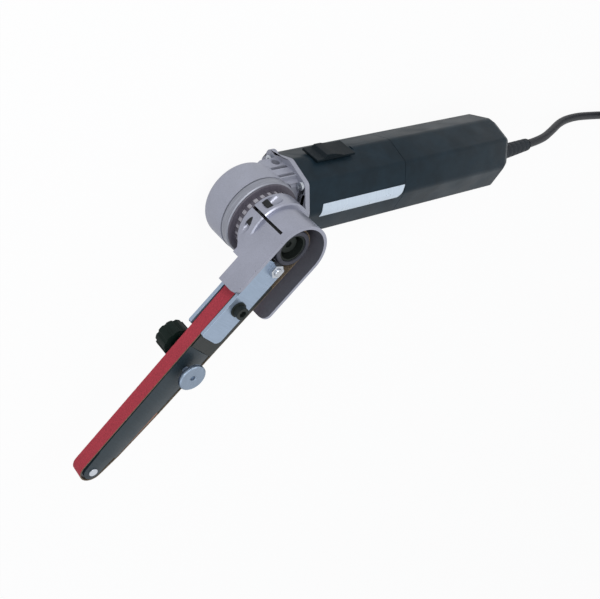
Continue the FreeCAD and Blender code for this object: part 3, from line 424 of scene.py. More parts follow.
def edit(piece):
    only(piece)
    bpy.ops.object.mode_set(mode="EDIT")
    bpy.ops.mesh.select_all(action="SELECT")


def object_mode():
    bpy.ops.object.mode_set(mode="OBJECT")


def pick_faces(piece, test):
    """Selects the faces for which test(face) is true, in edit mode afterwards."""
    only(piece)
    bpy.ops.object.mode_set(mode="EDIT")
    bpy.ops.mesh.select_all(action="DESELECT")
    bpy.ops.object.mode_set(mode="OBJECT")
    for face in piece.data.polygons:
        face.select = bool(test(face))
    bpy.ops.object.mode_set(mode="EDIT")
    bpy.ops.mesh.select_mode(type="FACE")


def smooth(piece, angle=32):
    """Shades smooth up to an angle, and keeps no modifier for it."""
    only(piece)
    bpy.ops.object.shade_smooth_by_angle(angle=math.radians(angle))
    for modifier in [m for m in piece.modifiers if m.type == "NODES"]:
        bpy.ops.object.modifier_apply(modifier=modifier.name)
    return piece


def break_edges(piece, width, segments=2, angle=38, edge_material=0):
    """Rounds the sharp edges and keeps the flats shading flat."""
    smooth(piece)
    bevel = piece.modifiers.new("Broken edges", "BEVEL")
    bevel.width = width
    bevel.segments = segments
    bevel.limit_method = "ANGLE"
    bevel.angle_limit = math.radians(angle)
    bevel.use_clamp_overlap = True
    bevel.harden_normals = True
    bevel.miter_outer = "MITER_ARC"
    bevel.material = edge_material
    return apply_modifiers(piece)


def dress(piece, slot, body, *nodes):
    """Gives a piece the finish of its slot where it has none yet, hangs it under its body, and hides the nodes
    that it stands for.
    """
    if not piece.data.materials:
        piece.data.materials.append(finish_of(slot))
    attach(piece, body)
    if nodes:
        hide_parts(*nodes)
    return piece


def merged_copy(node, name):
    """A copy of a node with its triangles merged into clean flats."""
    piece = bpy.data.objects.new(name, NODES[node].data.copy())
    piece.data.name = name
    bpy.context.scene.collection.objects.link(piece)
    piece.data.materials.clear()
    only(piece)
    if piece.data.has_custom_normals:
        bpy.ops.mesh.customdata_custom_splitnormals_clear()
    edit(piece)
    bpy.ops.mesh.remove_doubles(threshold=1.5e-6)
    bpy.ops.mesh.dissolve_limited(angle_limit=math.radians(0.7))
    object_mode()
    return piece


def lit_and_worn_edges(piece, slot, width, segments, angle, highlight_and_wear):
    """Gives a piece its finish and breaks its edges; the rounded edges take the second material where there is
    one, a brighter copy that is a painted highlight and wear.
    """
    materials = [finish_of(slot)] + ([highlight_and_wear] if highlight_and_wear is not None else [])
    piece.data.materials.clear()
    for material in materials:
        piece.data.materials.append(material)
    return break_edges(piece, width, segments, angle, len(materials) - 1)


def softened(node, width, segments=2, angle=38, name=None, highlight_and_wear=None):
    """A copy of a node with broken edges, which stands for it."""
    piece = merged_copy(node, name or node + "_finished")
    lit_and_worn_edges(piece, SLOT_OF[node], width, segments, angle, highlight_and_wear)
    return dress(piece, SLOT_OF[node], BODY_OF[node], node)


def lathe(name, profile, steps=64):
    """Spins (radius, height) points round Z into a closed solid."""
    mesh = bpy.data.meshes.new(name)
    mesh.from_pydata([(r, 0, z) for r, z in profile], [(i, i + 1) for i in range(len(profile) - 1)], [])
    piece = bpy.data.objects.new(name, mesh)
    bpy.context.scene.collection.objects.link(piece)
    edit(piece)
    bpy.ops.mesh.spin(steps=steps, angle=2 * math.pi, center=(0, 0, 0), axis=(0, 0, 1))
    bpy.ops.mesh.select_all(action="SELECT")
    bpy.ops.mesh.remove_doubles(threshold=1e-6)
    bpy.ops.mesh.normals_make_consistent(inside=False)
    object_mode()
    return piece


def moved(piece, matrix):
    piece.data.transform(matrix)
    piece.data.update()
    return piece


def surface_of(piece):
    """A piece's surface, for finding where a ray meets it."""
    mesh = piece.data
    return BVHTree.FromPolygons([v.co for v in mesh.vertices], [tuple(f.vertices) for f in mesh.polygons])


def above(surface, x, y):
    """Height of the surface's top at (x, y)."""
    over_all = Vector((x, y, 0.5))
    return surface.ray_cast(over_all, Vector((0, 0, -1)))[0].z


def seen_directly(tree):
    """A node output that is 1 for camera, glossy and transmission rays, and 0 for the rest."""
    rays = tree.nodes.new("ShaderNodeLightPath")
    seen = rays.outputs["Is Camera Ray"]
    for name in ("Is Glossy Ray", "Is Transmission Ray"):
        either = tree.nodes.new("ShaderNodeMath")
        either.operation = "MAXIMUM"
        tree.links.new(seen, either.inputs[0])
        tree.links.new(rays.outputs[name], either.inputs[1])
        seen = either.outputs["Value"]
    return seen


def curve_line(piece):
    """The points of a curve's own smooth line, read with its thickness off."""
    data = piece.data
    depth = data.bevel_depth
    data.bevel_depth = 0
    bpy.context.view_layer.update()
    graph = bpy.context.evaluated_depsgraph_get()
    mesh = bpy.data.meshes.new_from_object(piece.evaluated_get(graph))
    line = [v.co.copy() for v in mesh.vertices]
    bpy.data.meshes.remove(mesh)
    data.bevel_depth = depth
    return line


def joined(pieces, name):
    """Joins pieces into the first one."""
    only(pieces[0])
    for piece in pieces[1:]:
        piece.select_set(True)
    bpy.ops.object.join()
    pieces[0].name = name
    pieces[0].data.name = name
    return pieces[0]


def block(x0, x1, y0, y1, z0, z1):
    """A box between the given places, in mm from the spindle and the motor's axis."""
    bpy.ops.mesh.primitive_cube_add(size=1.0, location=((x0 + x1) / 2, (y0 + y1) / 2, (z0 + z1) / 2),
                                    scale=(x1 - x0, y1 - y0, z1 - z0))
    return settle(bpy.context.active_object, "block")


def rod(along, r, start, end, place=(0, 0), steps=48):
    """A cylinder along one axis, from start to end; place is where it is on the other two."""
    a, b = place
    middle = (start + end) / 2
    spots = {"X": (middle, a, b), "Y": (a, middle, b), "Z": (a, b, middle)}
    turns = {"X": (0, math.pi / 2, 0), "Y": (math.pi / 2, 0, 0), "Z": (0, 0, 0)}
    bpy.ops.mesh.primitive_cylinder_add(vertices=steps, radius=r, depth=end - start,
                                        location=spots[along], rotation=turns[along])
    return settle(bpy.context.active_object, "rod")


def combine(piece, tools, operation="DIFFERENCE"):
    """Cuts the tools out of a piece, or joins them to it, and removes them."""
    for tool in tools:
        made = piece.modifiers.new("Combine", "BOOLEAN")
        made.operation = operation
        made.solver = "EXACT"
        made.object = tool
        apply_modifiers(piece)
        bpy.data.objects.remove(tool)
    return piece


def arcs_between(places, steps=6):
    """Points round a counter-clockwise outline of (y, z, radius) places, an arc at each."""
    points = []
    for i, (y, z, r) in enumerate(places):
        here = Vector((y, z))
        back = (Vector(places[i - 1][:2]) - here).normalized()
        onward = (Vector(places[(i + 1) % len(places)][:2]) - here).normalized()
        half = back.angle(onward) / 2
        centre = here + (back + onward).normalized() * (r / math.sin(half))
        start = here + back * (r / math.tan(half)) - centre
        for k in range(steps + 1):
            points.append(centre + Matrix.Rotation((math.pi - 2 * half) * k / steps, 2) @ start)
    return points


def body_outline(inset=0.0):
    """The body's section in mm: a blunt ridge along each side but the underside, which is flat."""
    s = sizes()
    half = s.body_half / MM - inset
    # a corner moves in a little more than a side, so that the wall stays even
    c = (s.body_corner / MM - 1.06 * inset) / math.sqrt(2)
    foot = 0.66 * c
    corner = max(s.body_round / MM - inset, 1.0)
    ridge = s.ridge_round / MM
    return arcs_between([
        (half, 0.0, ridge), (c, c, corner), (0.0, half, ridge), (-c, c, corner), (-half, 0.0, ridge),
        (-c, -c, corner), (-foot, -half, corner), (foot, -half, corner), (c, -c, corner)])


def extruded(points, stations):
    """A closed solid: a (y, z) outline carried along X through (x, size) stations."""
    mesh = bpy.data.meshes.new("extruded")
    x, size = stations[0]
    count = len(points)
    mesh.from_pydata([(x, y * size, z * size) for y, z in points],
                     [(i, (i + 1) % count) for i in range(count)], [])
    piece = bpy.data.objects.new("extruded", mesh)
    bpy.context.scene.collection.objects.link(piece)
    edit(piece)
    bpy.ops.mesh.edge_face_add()
    for next_x, next_size in stations[1:]:
        bpy.ops.mesh.extrude_region_move(TRANSFORM_OT_translate={"value": (next_x - x, 0, 0)})
        ratio = next_size / size
        bpy.ops.transform.resize(value=(1, ratio, ratio), center_override=(next_x, 0, 0))
        x, size = next_x, next_size
    bpy.ops.mesh.select_all(action="SELECT")
    bpy.ops.mesh.normals_make_consistent(inside=False)
    object_mode()
    return piece


def around(tool, count, axis="X", first=0.0):
    """Copies of a tool turned round an axis through the origin, joined into one."""
    copies = []
    for k in range(count):
        piece = bpy.data.objects.new("copy", tool.data.copy())
        bpy.context.scene.collection.objects.link(piece)
        copies.append(moved(piece, Matrix.Rotation(2 * math.pi * (k + first) / count, 4, axis)))
    bpy.data.objects.remove(tool)
    return joined(copies, "round_copies")


def in_row(piece, name, slot, width, segments, angle, *nodes, highlight_and_wear=None):
    """Moves a piece built in mm into the row's frame, breaks its edges and dresses it."""
    moved(piece, MM_TO_ROW)
    piece.name = name
    piece.data.name = name
    edit(piece)
    bpy.ops.mesh.remove_doubles(threshold=2e-6)
    bpy.ops.mesh.dissolve_limited(angle_limit=math.radians(0.5))
    object_mode()
    lit_and_worn_edges(piece, slot, width, segments, angle, highlight_and_wear)
    return dress(piece, slot, BODY_OF[nodes[0]], *nodes)


# ------------------------------------------------------------------ pieces
class SANDER_OT_carried_over(bpy.types.Operator):
    """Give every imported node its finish"""

    bl_idname = "sander.carried_over"
    bl_label = "Carried-over nodes"

    def execute(self, context):
        for name, node in NODES.items():
            finish = finish_of(SLOT_OF[name])
            if node.data.materials:
                node.data.materials[0] = finish
            else:
                node.data.materials.append(finish)
        return {"FINISHED"}


class SANDER_OT_camera(bpy.types.Operator):
    """Place the camera"""

    bl_idname = "sander.camera"
    bl_label = "Camera"

    def execute(self, context):
        place = Vector((-0.3821, 0.3839, 0.5125))
        right = Vector((0.79675, 0.17777, 0.57758))
        up = Vector((0.24557, 0.77804, -0.57822))
        back = Vector((-0.55217, 0.60254, 0.57625))
        turn = Matrix((right, up, back)).transposed().to_4x4()
        data = bpy.data.cameras.new("Camera")
        data.lens = 56.836
        data.sensor_width = 36.0
        data.clip_start = 0.01
        data.clip_end = 20.0
        camera = bpy.data.objects.new("Camera", data)
        camera.matrix_world = Matrix.Translation(place) @ turn
        context.scene.collection.objects.link(camera)
        context.scene.camera = camera
        return {"FINISHED"}


class SANDER_OT_stage(bpy.types.Operator):
    """Set the pale floor, the soft lamps and the surroundings"""

    bl_idname = "sander.stage"
    bl_label = "Stage"

    floor_size, floor_z = 12.0, -0.0002
    # how much of the floor's whiteness is its own; the rest shows the shadow
    glow = 0.94
    aim = Vector((0.05, 0.0, 0.04))

    def floor(self, context):
        """Paper that renders near white where it is looked at, and still takes the shadow."""
        bpy.ops.object.select_all(action="DESELECT")
        bpy.ops.mesh.primitive_plane_add(size=self.floor_size, location=(0, 0, self.floor_z))
        floor = settle(context.active_object, "floor")
        paper = Finish("floor_paper", (0.93, 0.93, 0.94), roughness=0.9)
        share = paper.add("Math", operation="MULTIPLY")
        share.inputs[1].default_value = self.glow
        paper.tree.links.new(seen_directly(paper.tree), share.inputs[0])
        white = paper.add("Emission", Strength=1.0)
        blend = paper.add("MixShader")
        paper.join(share, "Value", blend, 0)
        paper.join(paper.shader, "BSDF", blend, 1)
        paper.join(white, "Emission", blend, 2)
        paper.join(blend, "Shader", paper.tree.nodes["Material Output"], "Surface")
        floor.data.materials.append(paper.material)

    def surroundings(self, context):
        """Soft light from all sides, before a plain white backdrop."""
        world = bpy.data.worlds.new("Surroundings")
        world.use_nodes = True
        tree = world.node_tree
        soft = tree.nodes["Background"]
        soft.inputs["Color"].default_value = (0.93, 0.96, 1.0, 1)
        soft.inputs["Strength"].default_value = 0.50
        white = tree.nodes.new("ShaderNodeBackground")
        white.inputs["Color"].default_value = (1, 1, 1, 1)
        white.inputs["Strength"].default_value = 1.0
        choose = tree.nodes.new("ShaderNodeMixShader")
        tree.links.new(seen_directly(tree), choose.inputs[0])
        tree.links.new(soft.outputs[0], choose.inputs[1])
        tree.links.new(white.outputs[0], choose.inputs[2])
        tree.links.new(choose.outputs[0], tree.nodes["World Output"].inputs["Surface"])
        context.scene.world = world

    def lamp(self, context, name, place, size, power, colour):
        data = bpy.data.lights.new(name, "AREA")
        data.shape = "DISK"
        data.size = size
        data.energy = power
        data.color = colour
        lamp = bpy.data.objects.new(name, data)
        lamp.location = place
        lamp.rotation_euler = (self.aim - Vector(place)).to_track_quat("-Z", "Y").to_euler()
        context.scene.collection.objects.link(lamp)

    def execute(self, context):
        self.floor(context)
        self.surroundings(context)
        self.lamp(context, "Key", (-0.25, 0.75, 0.85), 0.6, 5.0, (1.0, 0.99, 0.98))
        self.lamp(context, "Front", (-0.7, -0.1, 0.9), 0.8, 2.4, (0.93, 0.96, 1.0))
        context.scene.view_settings.view_transform = "Standard"
        return {"FINISHED"}


class SANDER_OT_cord(bpy.types.Operator):
    """Lay the mains cord: out of its boot, along the floor and into a tied coil"""

    bl_idname = "sander.cord"
    bl_label = "Mains cord"

    def coil_turns(self, centre, points):
        """Eight turns in three layers, wound inwards, outwards and inwards again."""
        # in mm, one of each for every turn
        radii = [52, 44, 36, 36, 44, 52, 52, 44]
        heights = [4, 4, 4, 12, 12, 12, 20, 20]
        turns = []
        last = len(radii) * points
        for i in range(1, last - points // 4):
            k = i / points
            a, b = int(k), min(int(k) + 1, len(radii) - 1)
            eased = (k - a) * (k - a) * (3 - 2 * (k - a))
            r = (radii[a] + (radii[b] - radii[a]) * eased) * MM
            z = (heights[a] + (heights[b] - heights[a]) * eased) * MM
            angle = -math.pi / 2 + 2 * math.pi * k
            turns.append(Vector((centre.x + r * math.cos(angle), centre.y + r * math.sin(angle), z)))
        return turns

    def execute(self, context):
        s = sizes()
        centre = (COIL_LOW + COIL_HIGH) / 2
        # in mm: the way from the boot down to the floor
        route = [(328.82, -9.0, 28.53), (352.75, -9.0, 26.65), (377, -8.2, 18.0), (402, -7.0, 7.8),
                 (429, -7.8, 4.0), (458, -10.8, 4.0), (487, -14.6, 4.0), (512, -16.0, 4.0)]
        # in mm from the coil's centre: the way up to the plug
        rise = [(40, -21, 26.5), (43, 4, 29.2), (34, 24, 31.2)]
        points = [Vector(p) * MM for p in route]
        points += self.coil_turns(centre, s.coil_points)
        points += [Vector((centre.x, centre.y, 0)) + Vector(p) * MM for p in rise]
        points += [PLUG_AXIS + Vector((12, 0, 0)) * MM, PLUG_AXIS - Vector((3, 0, 0)) * MM]
        curve = bpy.data.curves.new("mains_cord", "CURVE")
        curve.dimensions = "3D"
        curve.bevel_depth = s.cord_diameter / 2
        curve.bevel_resolution = 5
        curve.use_fill_caps = True
        curve.resolution_u = 6
        spline = curve.splines.new("NURBS")
        spline.points.add(len(points) - 1)
        for slot, point in zip(spline.points, points):
            slot.co = (*point, 1.0)
        spline.order_u = 3
        spline.use_endpoint_u = True
        cord = bpy.data.objects.new("mains_cord", curve)
        context.scene.collection.objects.link(cord)
        dress(cord, "cord_black", "housing", "cord", "cord_coil")
        steps = curve_line(cord)
        length = sum((b - a).length for a, b in zip(steps, steps[1:]))
        context.scene["cord_length"] = length
        context.scene["cord_exit"] = list(points[0])
        print("cord length", round(length, 3))
        return {"FINISHED"}


class SANDER_OT_plug(bpy.types.Operator):
    """Model the moulded plug with its ribbed relief, and the coil's tie"""

    bl_idname = "sander.plug"
    bl_label = "Plug and tie"

    def execute(self, context):
        body = softened("plug", 1.2 * MM, 3, 30, name="plug_body")
        relief_start = PLUG_AXIS - Vector((21.5, 0, 0)) * MM
        to_relief = Matrix.Translation(relief_start) @ Matrix.Rotation(math.pi / 2, 4, "Y")
        ring_count, pitch, taper = 6, 2.9, 0.2
        sunk, proud = 1.2 * MM, 0.35 * MM
        rings = []
        for k in range(ring_count):
            r = (5.9 - taper * k) * MM
            z = (4.2 + pitch * k) * MM
            profile = [(r - sunk, z), (r + proud, z + 0.3 * MM), (r + proud, z + 1.2 * MM),
                       (r - sunk, z + 1.5 * MM)]
            rings.append(moved(lathe("relief_ring", profile, 32), to_relief))
        relief = smooth(joined(rings, "plug_relief_rings"))
        dress(relief, "plug_black", "housing")
        tie = softened("cord_tie", 0.3 * MM, 2)
        return {"FINISHED"}


class SANDER_OT_boot(bpy.types.Operator):
    """Turn the tapered strain relief at the body's rear"""

    bl_idname = "sander.boot"
    bl_label = "Strain relief"

    def execute(self, context):
        root = Vector((REAR_HIGH.x, -9.0 * MM, MOTOR_Z + 1.0 * MM))
        along = Vector(context.scene["cord_exit"]) - root
        length = along.length
        bore, base, taper = 4.1 * MM, 7.8, 2.0
        grooves, first = 7, 0.16 * length
        step = (length - first) / grooves
        profile = [(bore, -5.0 * MM), (7.7 * MM, -5.0 * MM), (base * MM, 5.0 * MM)]
        for k in range(grooves):
            start = first + k * (length - first) / grooves
            r = (base - taper * (start / length)) * MM
            profile += [(r, start), (r - 0.1 * MM, start + 0.62 * step),
                        (r - 0.75 * MM, start + 0.7 * step), (r - 0.78 * MM, start + 0.9 * step)]
        profile += [(5.8 * MM, length - 1.2 * MM), (5.3 * MM, length), (bore, length)]
        boot = lathe("strain_relief", profile + profile[:1], 48)
        turn = along.to_track_quat("Z", "Y").to_matrix().to_4x4()
        moved(boot, Matrix.Translation(root) @ turn)
        smooth(boot, 40)
        dress(boot, "boot_rubber", "housing", "cord_boot")
        return {"FINISHED"}


class SANDER_OT_gear_head(bpy.types.Operator):
    """Model the cast gear head with its neck, slots and flange, and seat what it holds"""

    bl_idname = "sander.gear_head"
    bl_label = "Gear head"

    # in mm: X from the spindle, Y and Z from the motor's axis
    radius, wall, seam = 32.0, 4.0, 16.0
    neck_start, neck_side, flange = 14.0, 26.0, 4.0
    motor_bearing, spindle_bearing = 13.05, 11.05
    screw_place, ear_place, ear_radius = 20.8, 21.6, 6.2
    thread_place, thread_radius = (29.3, -8.9), 3.4
    slot_heights = (-0.2, 10.0)
    groove_depth = 0.9

    def drum(self, back, edge):
        """A drum with a flat back and a well rounded edge."""
        r = self.radius
        profile = [(0, back), (r - edge, back)]
        steps = 10
        for k in range(1, steps + 1):
            a = math.pi / 2 * k / steps
            profile.append((r - edge + edge * math.sin(a), back + edge - edge * math.cos(a)))
        return lathe("gear_head", profile + [(r, self.seam), (0, self.seam)], 96)

    def neck(self, back, plate, half):
        """The neck up to the flange: flat sides, and an underside that slopes up to the back."""
        neck = extruded(body_outline(5.0), [(4.0, 1.0), (plate + 0.5, 1.0)])
        flats = block(self.neck_start, plate + 0.4, -self.neck_side, self.neck_side, -14.5, 13)
        low, end = -half - 9, plate + 1.5
        slope = [(0, low), (end, low), (end, -half + 7), (self.neck_start, back), (0, back)]
        below = moved(extruded([(-x, z) for x, z in slope], [(-half - 4, 1.0), (half + 4, 1.0)]),
                      Matrix.Rotation(math.pi / 2, 4, "Z"))
        combine(neck, [flats], "UNION")
        return combine(neck, [below])

    def hollow(self, piece, back, plate, joint, half):
        """Cuts the room for the flange, the open pocket with its air outlet, and the gear cavity."""
        pocket = self.motor_bearing + self.wall
        combine(piece, [rod("Z", self.radius + 0.5, self.seam, half + 5, steps=96),
                        block(self.neck_start, plate, -20.5, 20.5, pocket, half),
                        block(plate - 1, joint + 1, -15, 15, pocket + 1.6, half - 5.8)])
        inner, floor, seat = self.radius - self.wall, back + 3.0, self.spindle_bearing
        cavity = lathe("cavity", [(0, back + 2.5), (seat, back + 2.5), (seat, back + 9.5),
                                  (seat + 2.2, back + 9.5), (seat + 2.2, floor), (inner - 6.5, floor),
                                  (inner, floor + 6.5), (inner, self.seam + 1), (0, self.seam + 1)], 72)
        combine(piece, [cavity, rod("X", self.motor_bearing, 25, joint + 1), rod("X", 9.5, seat + 2.4, 30)])

    def cut_slots(self, piece, joint):
        """Cuts the side handle's hole and the air slots on both sides."""
        side = self.neck_side
        combine(piece, [rod("Y", self.thread_radius, side - 11, side + 6, self.thread_place),
                        rod("Y", self.thread_radius + 1.0, side - 0.6, side + 3, self.thread_place)])
        for z in self.slot_heights:
            for near in (1, -1):
                for start, depth, half_height in ((18.5, side - 3.5, 1.6), (25, 18, 1.58)):
                    low, high = sorted((near * depth, near * 31))
                    combine(piece, [block(start, joint - 4.6, low, high, z - half_height, z + half_height)])

    def cut_seats(self, piece, plate, joint):
        """Cuts the groove at the seam and the seats of the housing screws."""
        r, seam = self.radius, self.seam
        groove = [(r - self.groove_depth, seam - 0.6), (r + 1, seam - 0.6), (r + 1, seam + 1),
                  (r - self.groove_depth, seam + 1)]
        combine(piece, [lathe("groove", groove + groove[:1], 96)])
        for y in (self.screw_place, -self.screw_place):
            for z in (self.screw_place, -self.screw_place):
                combine(piece, [rod("X", 4.4, 20, plate, (y, z), 32),
                                rod("X", 2.05, plate - 1, joint + 1, (y, z), 24)])

    def seat_parts(self, back):
        """Finishes what the head holds, moved to the seats that it has here."""
        softened("bearing_flange", 0.35 * MM, 2)
        softened("flange_screws", 0.15 * MM, 1)
        inwards, spindle_foot, shaft_front = 1.26 * MM, 16.0 * MM, 13.7 * MM
        screws = softened("housing_screws", 0.25 * MM, 2)
        for vertex in screws.data.vertices:
            vertex.co.y -= math.copysign(inwards, vertex.co.y)
            vertex.co.z -= math.copysign(inwards, vertex.co.z - MOTOR_Z)
        lift = (back + 2.5) * MM + MOTOR_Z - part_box("rear_spindle_bearing")[0].z
        for node, width in (("rear_spindle_bearing", 0.2 * MM), ("spindle", 0.1 * MM)):
            raised = softened(node, width, 1)
            for vertex in raised.data.vertices:
                if vertex.co.z < spindle_foot:
                    vertex.co.z += lift
        shaft = softened("motor_shaft", 0.1 * MM, 1)
        for vertex in shaft.data.vertices:
            vertex.co.x = max(vertex.co.x, shaft_front)

    def execute(self, context):
        s = sizes()
        back, half = -s.head_back / MM, s.body_half / MM
        joint = HOUSING_LOW.x / MM
        plate = joint - self.flange
        piece = self.drum(back, s.head_round / MM)
        neck = self.neck(back, plate, half)
        flange = extruded(body_outline(), [(plate, 1.0), (joint, 1.0)])
        ears = [rod("X", self.ear_radius, plate, joint - 0.02, (-z, z))
                for z in (-self.ear_place, self.ear_place)]
        combine(piece, [neck, flange] + ears, "UNION")
        self.hollow(piece, back, plate, joint, half)
        self.cut_slots(piece, joint)
        self.cut_seats(piece, plate, joint)
        # the rounded edges take a brighter casting: a painted highlight and wear
        bright = cast_finish("cast_edge", shade(colours().casting, 1.12), 0.45, 0.35)
        in_row(piece, "gear_head", "cast_housing", s.cast_edge, 3, 36, "gear_housing", highlight_and_wear=bright)
        piece.data.materials.append(rubber_finish("deep_shadow", (0.16, 0.17, 0.18), 0.8))
        top = MOTOR_Z + self.seam * MM
        for face in piece.data.polygons:
            in_groove = self.radius - 1.2 < face.center.to_2d().length / MM < self.radius - 0.1
            if in_groove and abs(face.center.z - top) < self.groove_depth * MM:
                face.material_index = 2
        self.seat_parts(back)
        return {"FINISHED"}


class SANDER_OT_index_ring(bpy.types.Operator):
    """Turn the index ring and cut its windows, which show bare metal"""

    bl_idname = "sander.index_ring"
    bl_label = "Index ring"

    def execute(self, context):
        low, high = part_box("index_ring")
        base, top = (low.z - MOTOR_Z) / MM, (high.z - MOTOR_Z) / MM
        bore, disc, crown, depth = 20.05, 30.4, 26.2, 0.9
        profile = [(bore, base), (disc, base), (disc, base + 0.8), (disc - 0.5, base + 1.2),
                   (crown, base + 1.2), (crown, top - 0.6), (crown - 0.6, top), (bore, top)]
        ring = lathe("index_ring_finished", profile + profile[:1], 108)
        window = block(crown - depth, crown + 1, -1.75, 1.75, base + 2.0, top - 1.2)
        combine(ring, [around(window, sizes().index_windows, "Z")])
        moved(ring, MM_TO_ROW)
        ring.data.materials.clear()
        ring.data.materials.append(finish_of("dark_ring"))
        ring.data.materials.append(turned_finish("bare_window", (0.74, 0.73, 0.76), 0.45, 0.2))
        for face in ring.data.polygons:
            away = face.center.to_2d()
            outwards = face.normal.to_2d().dot(away.normalized()) > 0.9
            if outwards and abs(away.length - (crown - depth) * MM) < 0.3 * MM:
                face.material_index = 1
        break_edges(ring, 0.12 * MM, 1)
        dress(ring, "dark_ring", "housing", "index_ring")
        return {"FINISHED"}


class SANDER_OT_motor_body(bpy.types.Operator):
    """Model the moulded motor housing and the rear housing with its ring of vents"""

    bl_idname = "sander.motor_body"
    bl_label = "Motor body"

    wall, bulkhead, vent_count = 3.0, 122.0, 24

    def front(self):
        """The motor housing, hollow on both sides of a bulkhead, with the slide switch's recess."""
        joint, seam = HOUSING_LOW.x / MM, REAR_LOW.x / MM - 0.3
        half, wall, bulkhead = sizes().body_half / MM, self.wall, self.bulkhead
        piece = extruded(body_outline(), [(joint, 1), (seam, 1)])
        low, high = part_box("switch_slider")
        foot, width = low.x / MM, (high.z - low.z) / MM / 2 + 0.3
        start, end = foot - 6.3, high.x / MM + 4
        room = combine(extruded(body_outline(wall + 0.6), [(joint - 1, 1), (bulkhead, 1)]),
                       [block(start - 2, end + 2, 27.1, half, -width - 1.6, width + 1.6)])
        combine(piece, [room, extruded(body_outline(wall), [(bulkhead + 10, 1), (seam + 1, 1)]),
                        rod("X", 11.05, bulkhead + 2, bulkhead + 9),
                        rod("X", 6.0, bulkhead - 1, bulkhead + 11)])
        # recess of the slide switch, and the slot for its foot and rod
        combine(piece, [block(start, end, half - 1.2, half + 2, -width, width),
                        block(foot + 5.7, foot + 24.3, 24, half + 1, -3.8, 3.8)])
        return in_row(piece, "motor_body_front", "housing_black", sizes().moulded_edge, 2, 36,
                      "motor_housing")

    def rear(self):
        """The rear housing, tapered towards the cord, with vents round its end."""
        start, end = REAR_LOW.x / MM, REAR_HIGH.x / MM
        half, wall = sizes().body_half / MM, self.wall
        taper, shoulder, tail = end - 15.5, 0.86, 0.52
        piece = extruded(body_outline(), [(start, 1), (taper, 1), (end - 8.0, shoulder), (end, tail)])
        room = extruded(body_outline(wall), [(start - 1, 1), (taper - 1, 1), (end - wall - 5.0, tail)])
        vent = block(end - 7.4, end + 1, half * tail - 2.0, half * 1.2, -1.3, 1.3)
        cord_hole = rod("X", 8.4, end - 8, end + 1, (-9.0, 1.0))
        combine(piece, [room, around(vent, self.vent_count, "X", 0.5), cord_hole])
        return in_row(piece, "motor_body_rear", "housing_black", sizes().moulded_edge, 2, 36, "rear_housing")

    def execute(self, context):
        self.front()
        self.rear()
        return {"FINISHED"}


class SANDER_OT_bare_plate(bpy.types.Operator):
    """Lay a bare metal plate on the body's near side"""

    bl_idname = "sander.bare_plate"
    bl_label = "Bare plate"

    def execute(self, context):
        s = sizes()
        start, end = HOUSING_LOW.x + 12.0 * MM, REAR_LOW.x - 0.6 * MM
        middle, clear = 1.2 * MM, 0.05 * MM
        slant, fanning = 2.6 * MM, 2.4 * MM
        bpy.ops.object.select_all(action="DESELECT")
        bpy.ops.mesh.primitive_plane_add(size=1.0, location=(0, 0, 0))
        plate = settle(context.active_object, "bare_plate")
        edit(plate)
        bpy.ops.mesh.subdivide(number_cuts=31)
        object_mode()
        body = surface_of(bpy.data.objects["motor_body_front"])
        for vertex in plate.data.vertices:
            u, v = vertex.co.x + 0.5, vertex.co.y + 0.5
            # the lower corner by the seam is cut off
            corner = max(0.0, 0.3 * u + 0.05 * (1 - v) - 0.335)
            x = min(end, start + (u - corner) * s.plate_length + (slant + fanning * u) * (v - 0.5))
            y = middle + (v - 0.5) * s.plate_width
            vertex.co = Vector((x, y, above(body, x, y) + clear))
        thick = plate.modifiers.new("Sheet", "SOLIDIFY")
        thick.thickness = 0.35 * MM
        thick.offset = 1.0
        apply_modifiers(plate)
        finish = Finish("plate_silver", (0.80, 0.85, 0.90), metallic=0.35, roughness=0.3)
        where = finish.place((0.05, 1, 1))
        finish.layered(((0.74, 0.80, 0.86), (0.84, 0.89, 0.94)), ((0.76, 0.81, 0.87), (0.83, 0.88, 0.93)),
                       60.0, 500.0, 0.5, where=where)
        finish.gloss_between(0.24, 0.4, 90.0)
        finish.grain(350.0, 0.08, 0.0001, where=where)
        plate.data.materials.append(finish.material)
        break_edges(plate, 0.1 * MM, 2)
        dress(plate, "screw_steel", "housing")
        return {"FINISHED"}


class SANDER_OT_slide_switch(bpy.types.Operator):
    """Finish the slide switch and its thumb ribs"""

    bl_idname = "sander.slide_switch"
    bl_label = "Slide switch"

    def execute(self, context):
        softened("switch_slider", 0.5 * MM, 3)
        return {"FINISHED"}


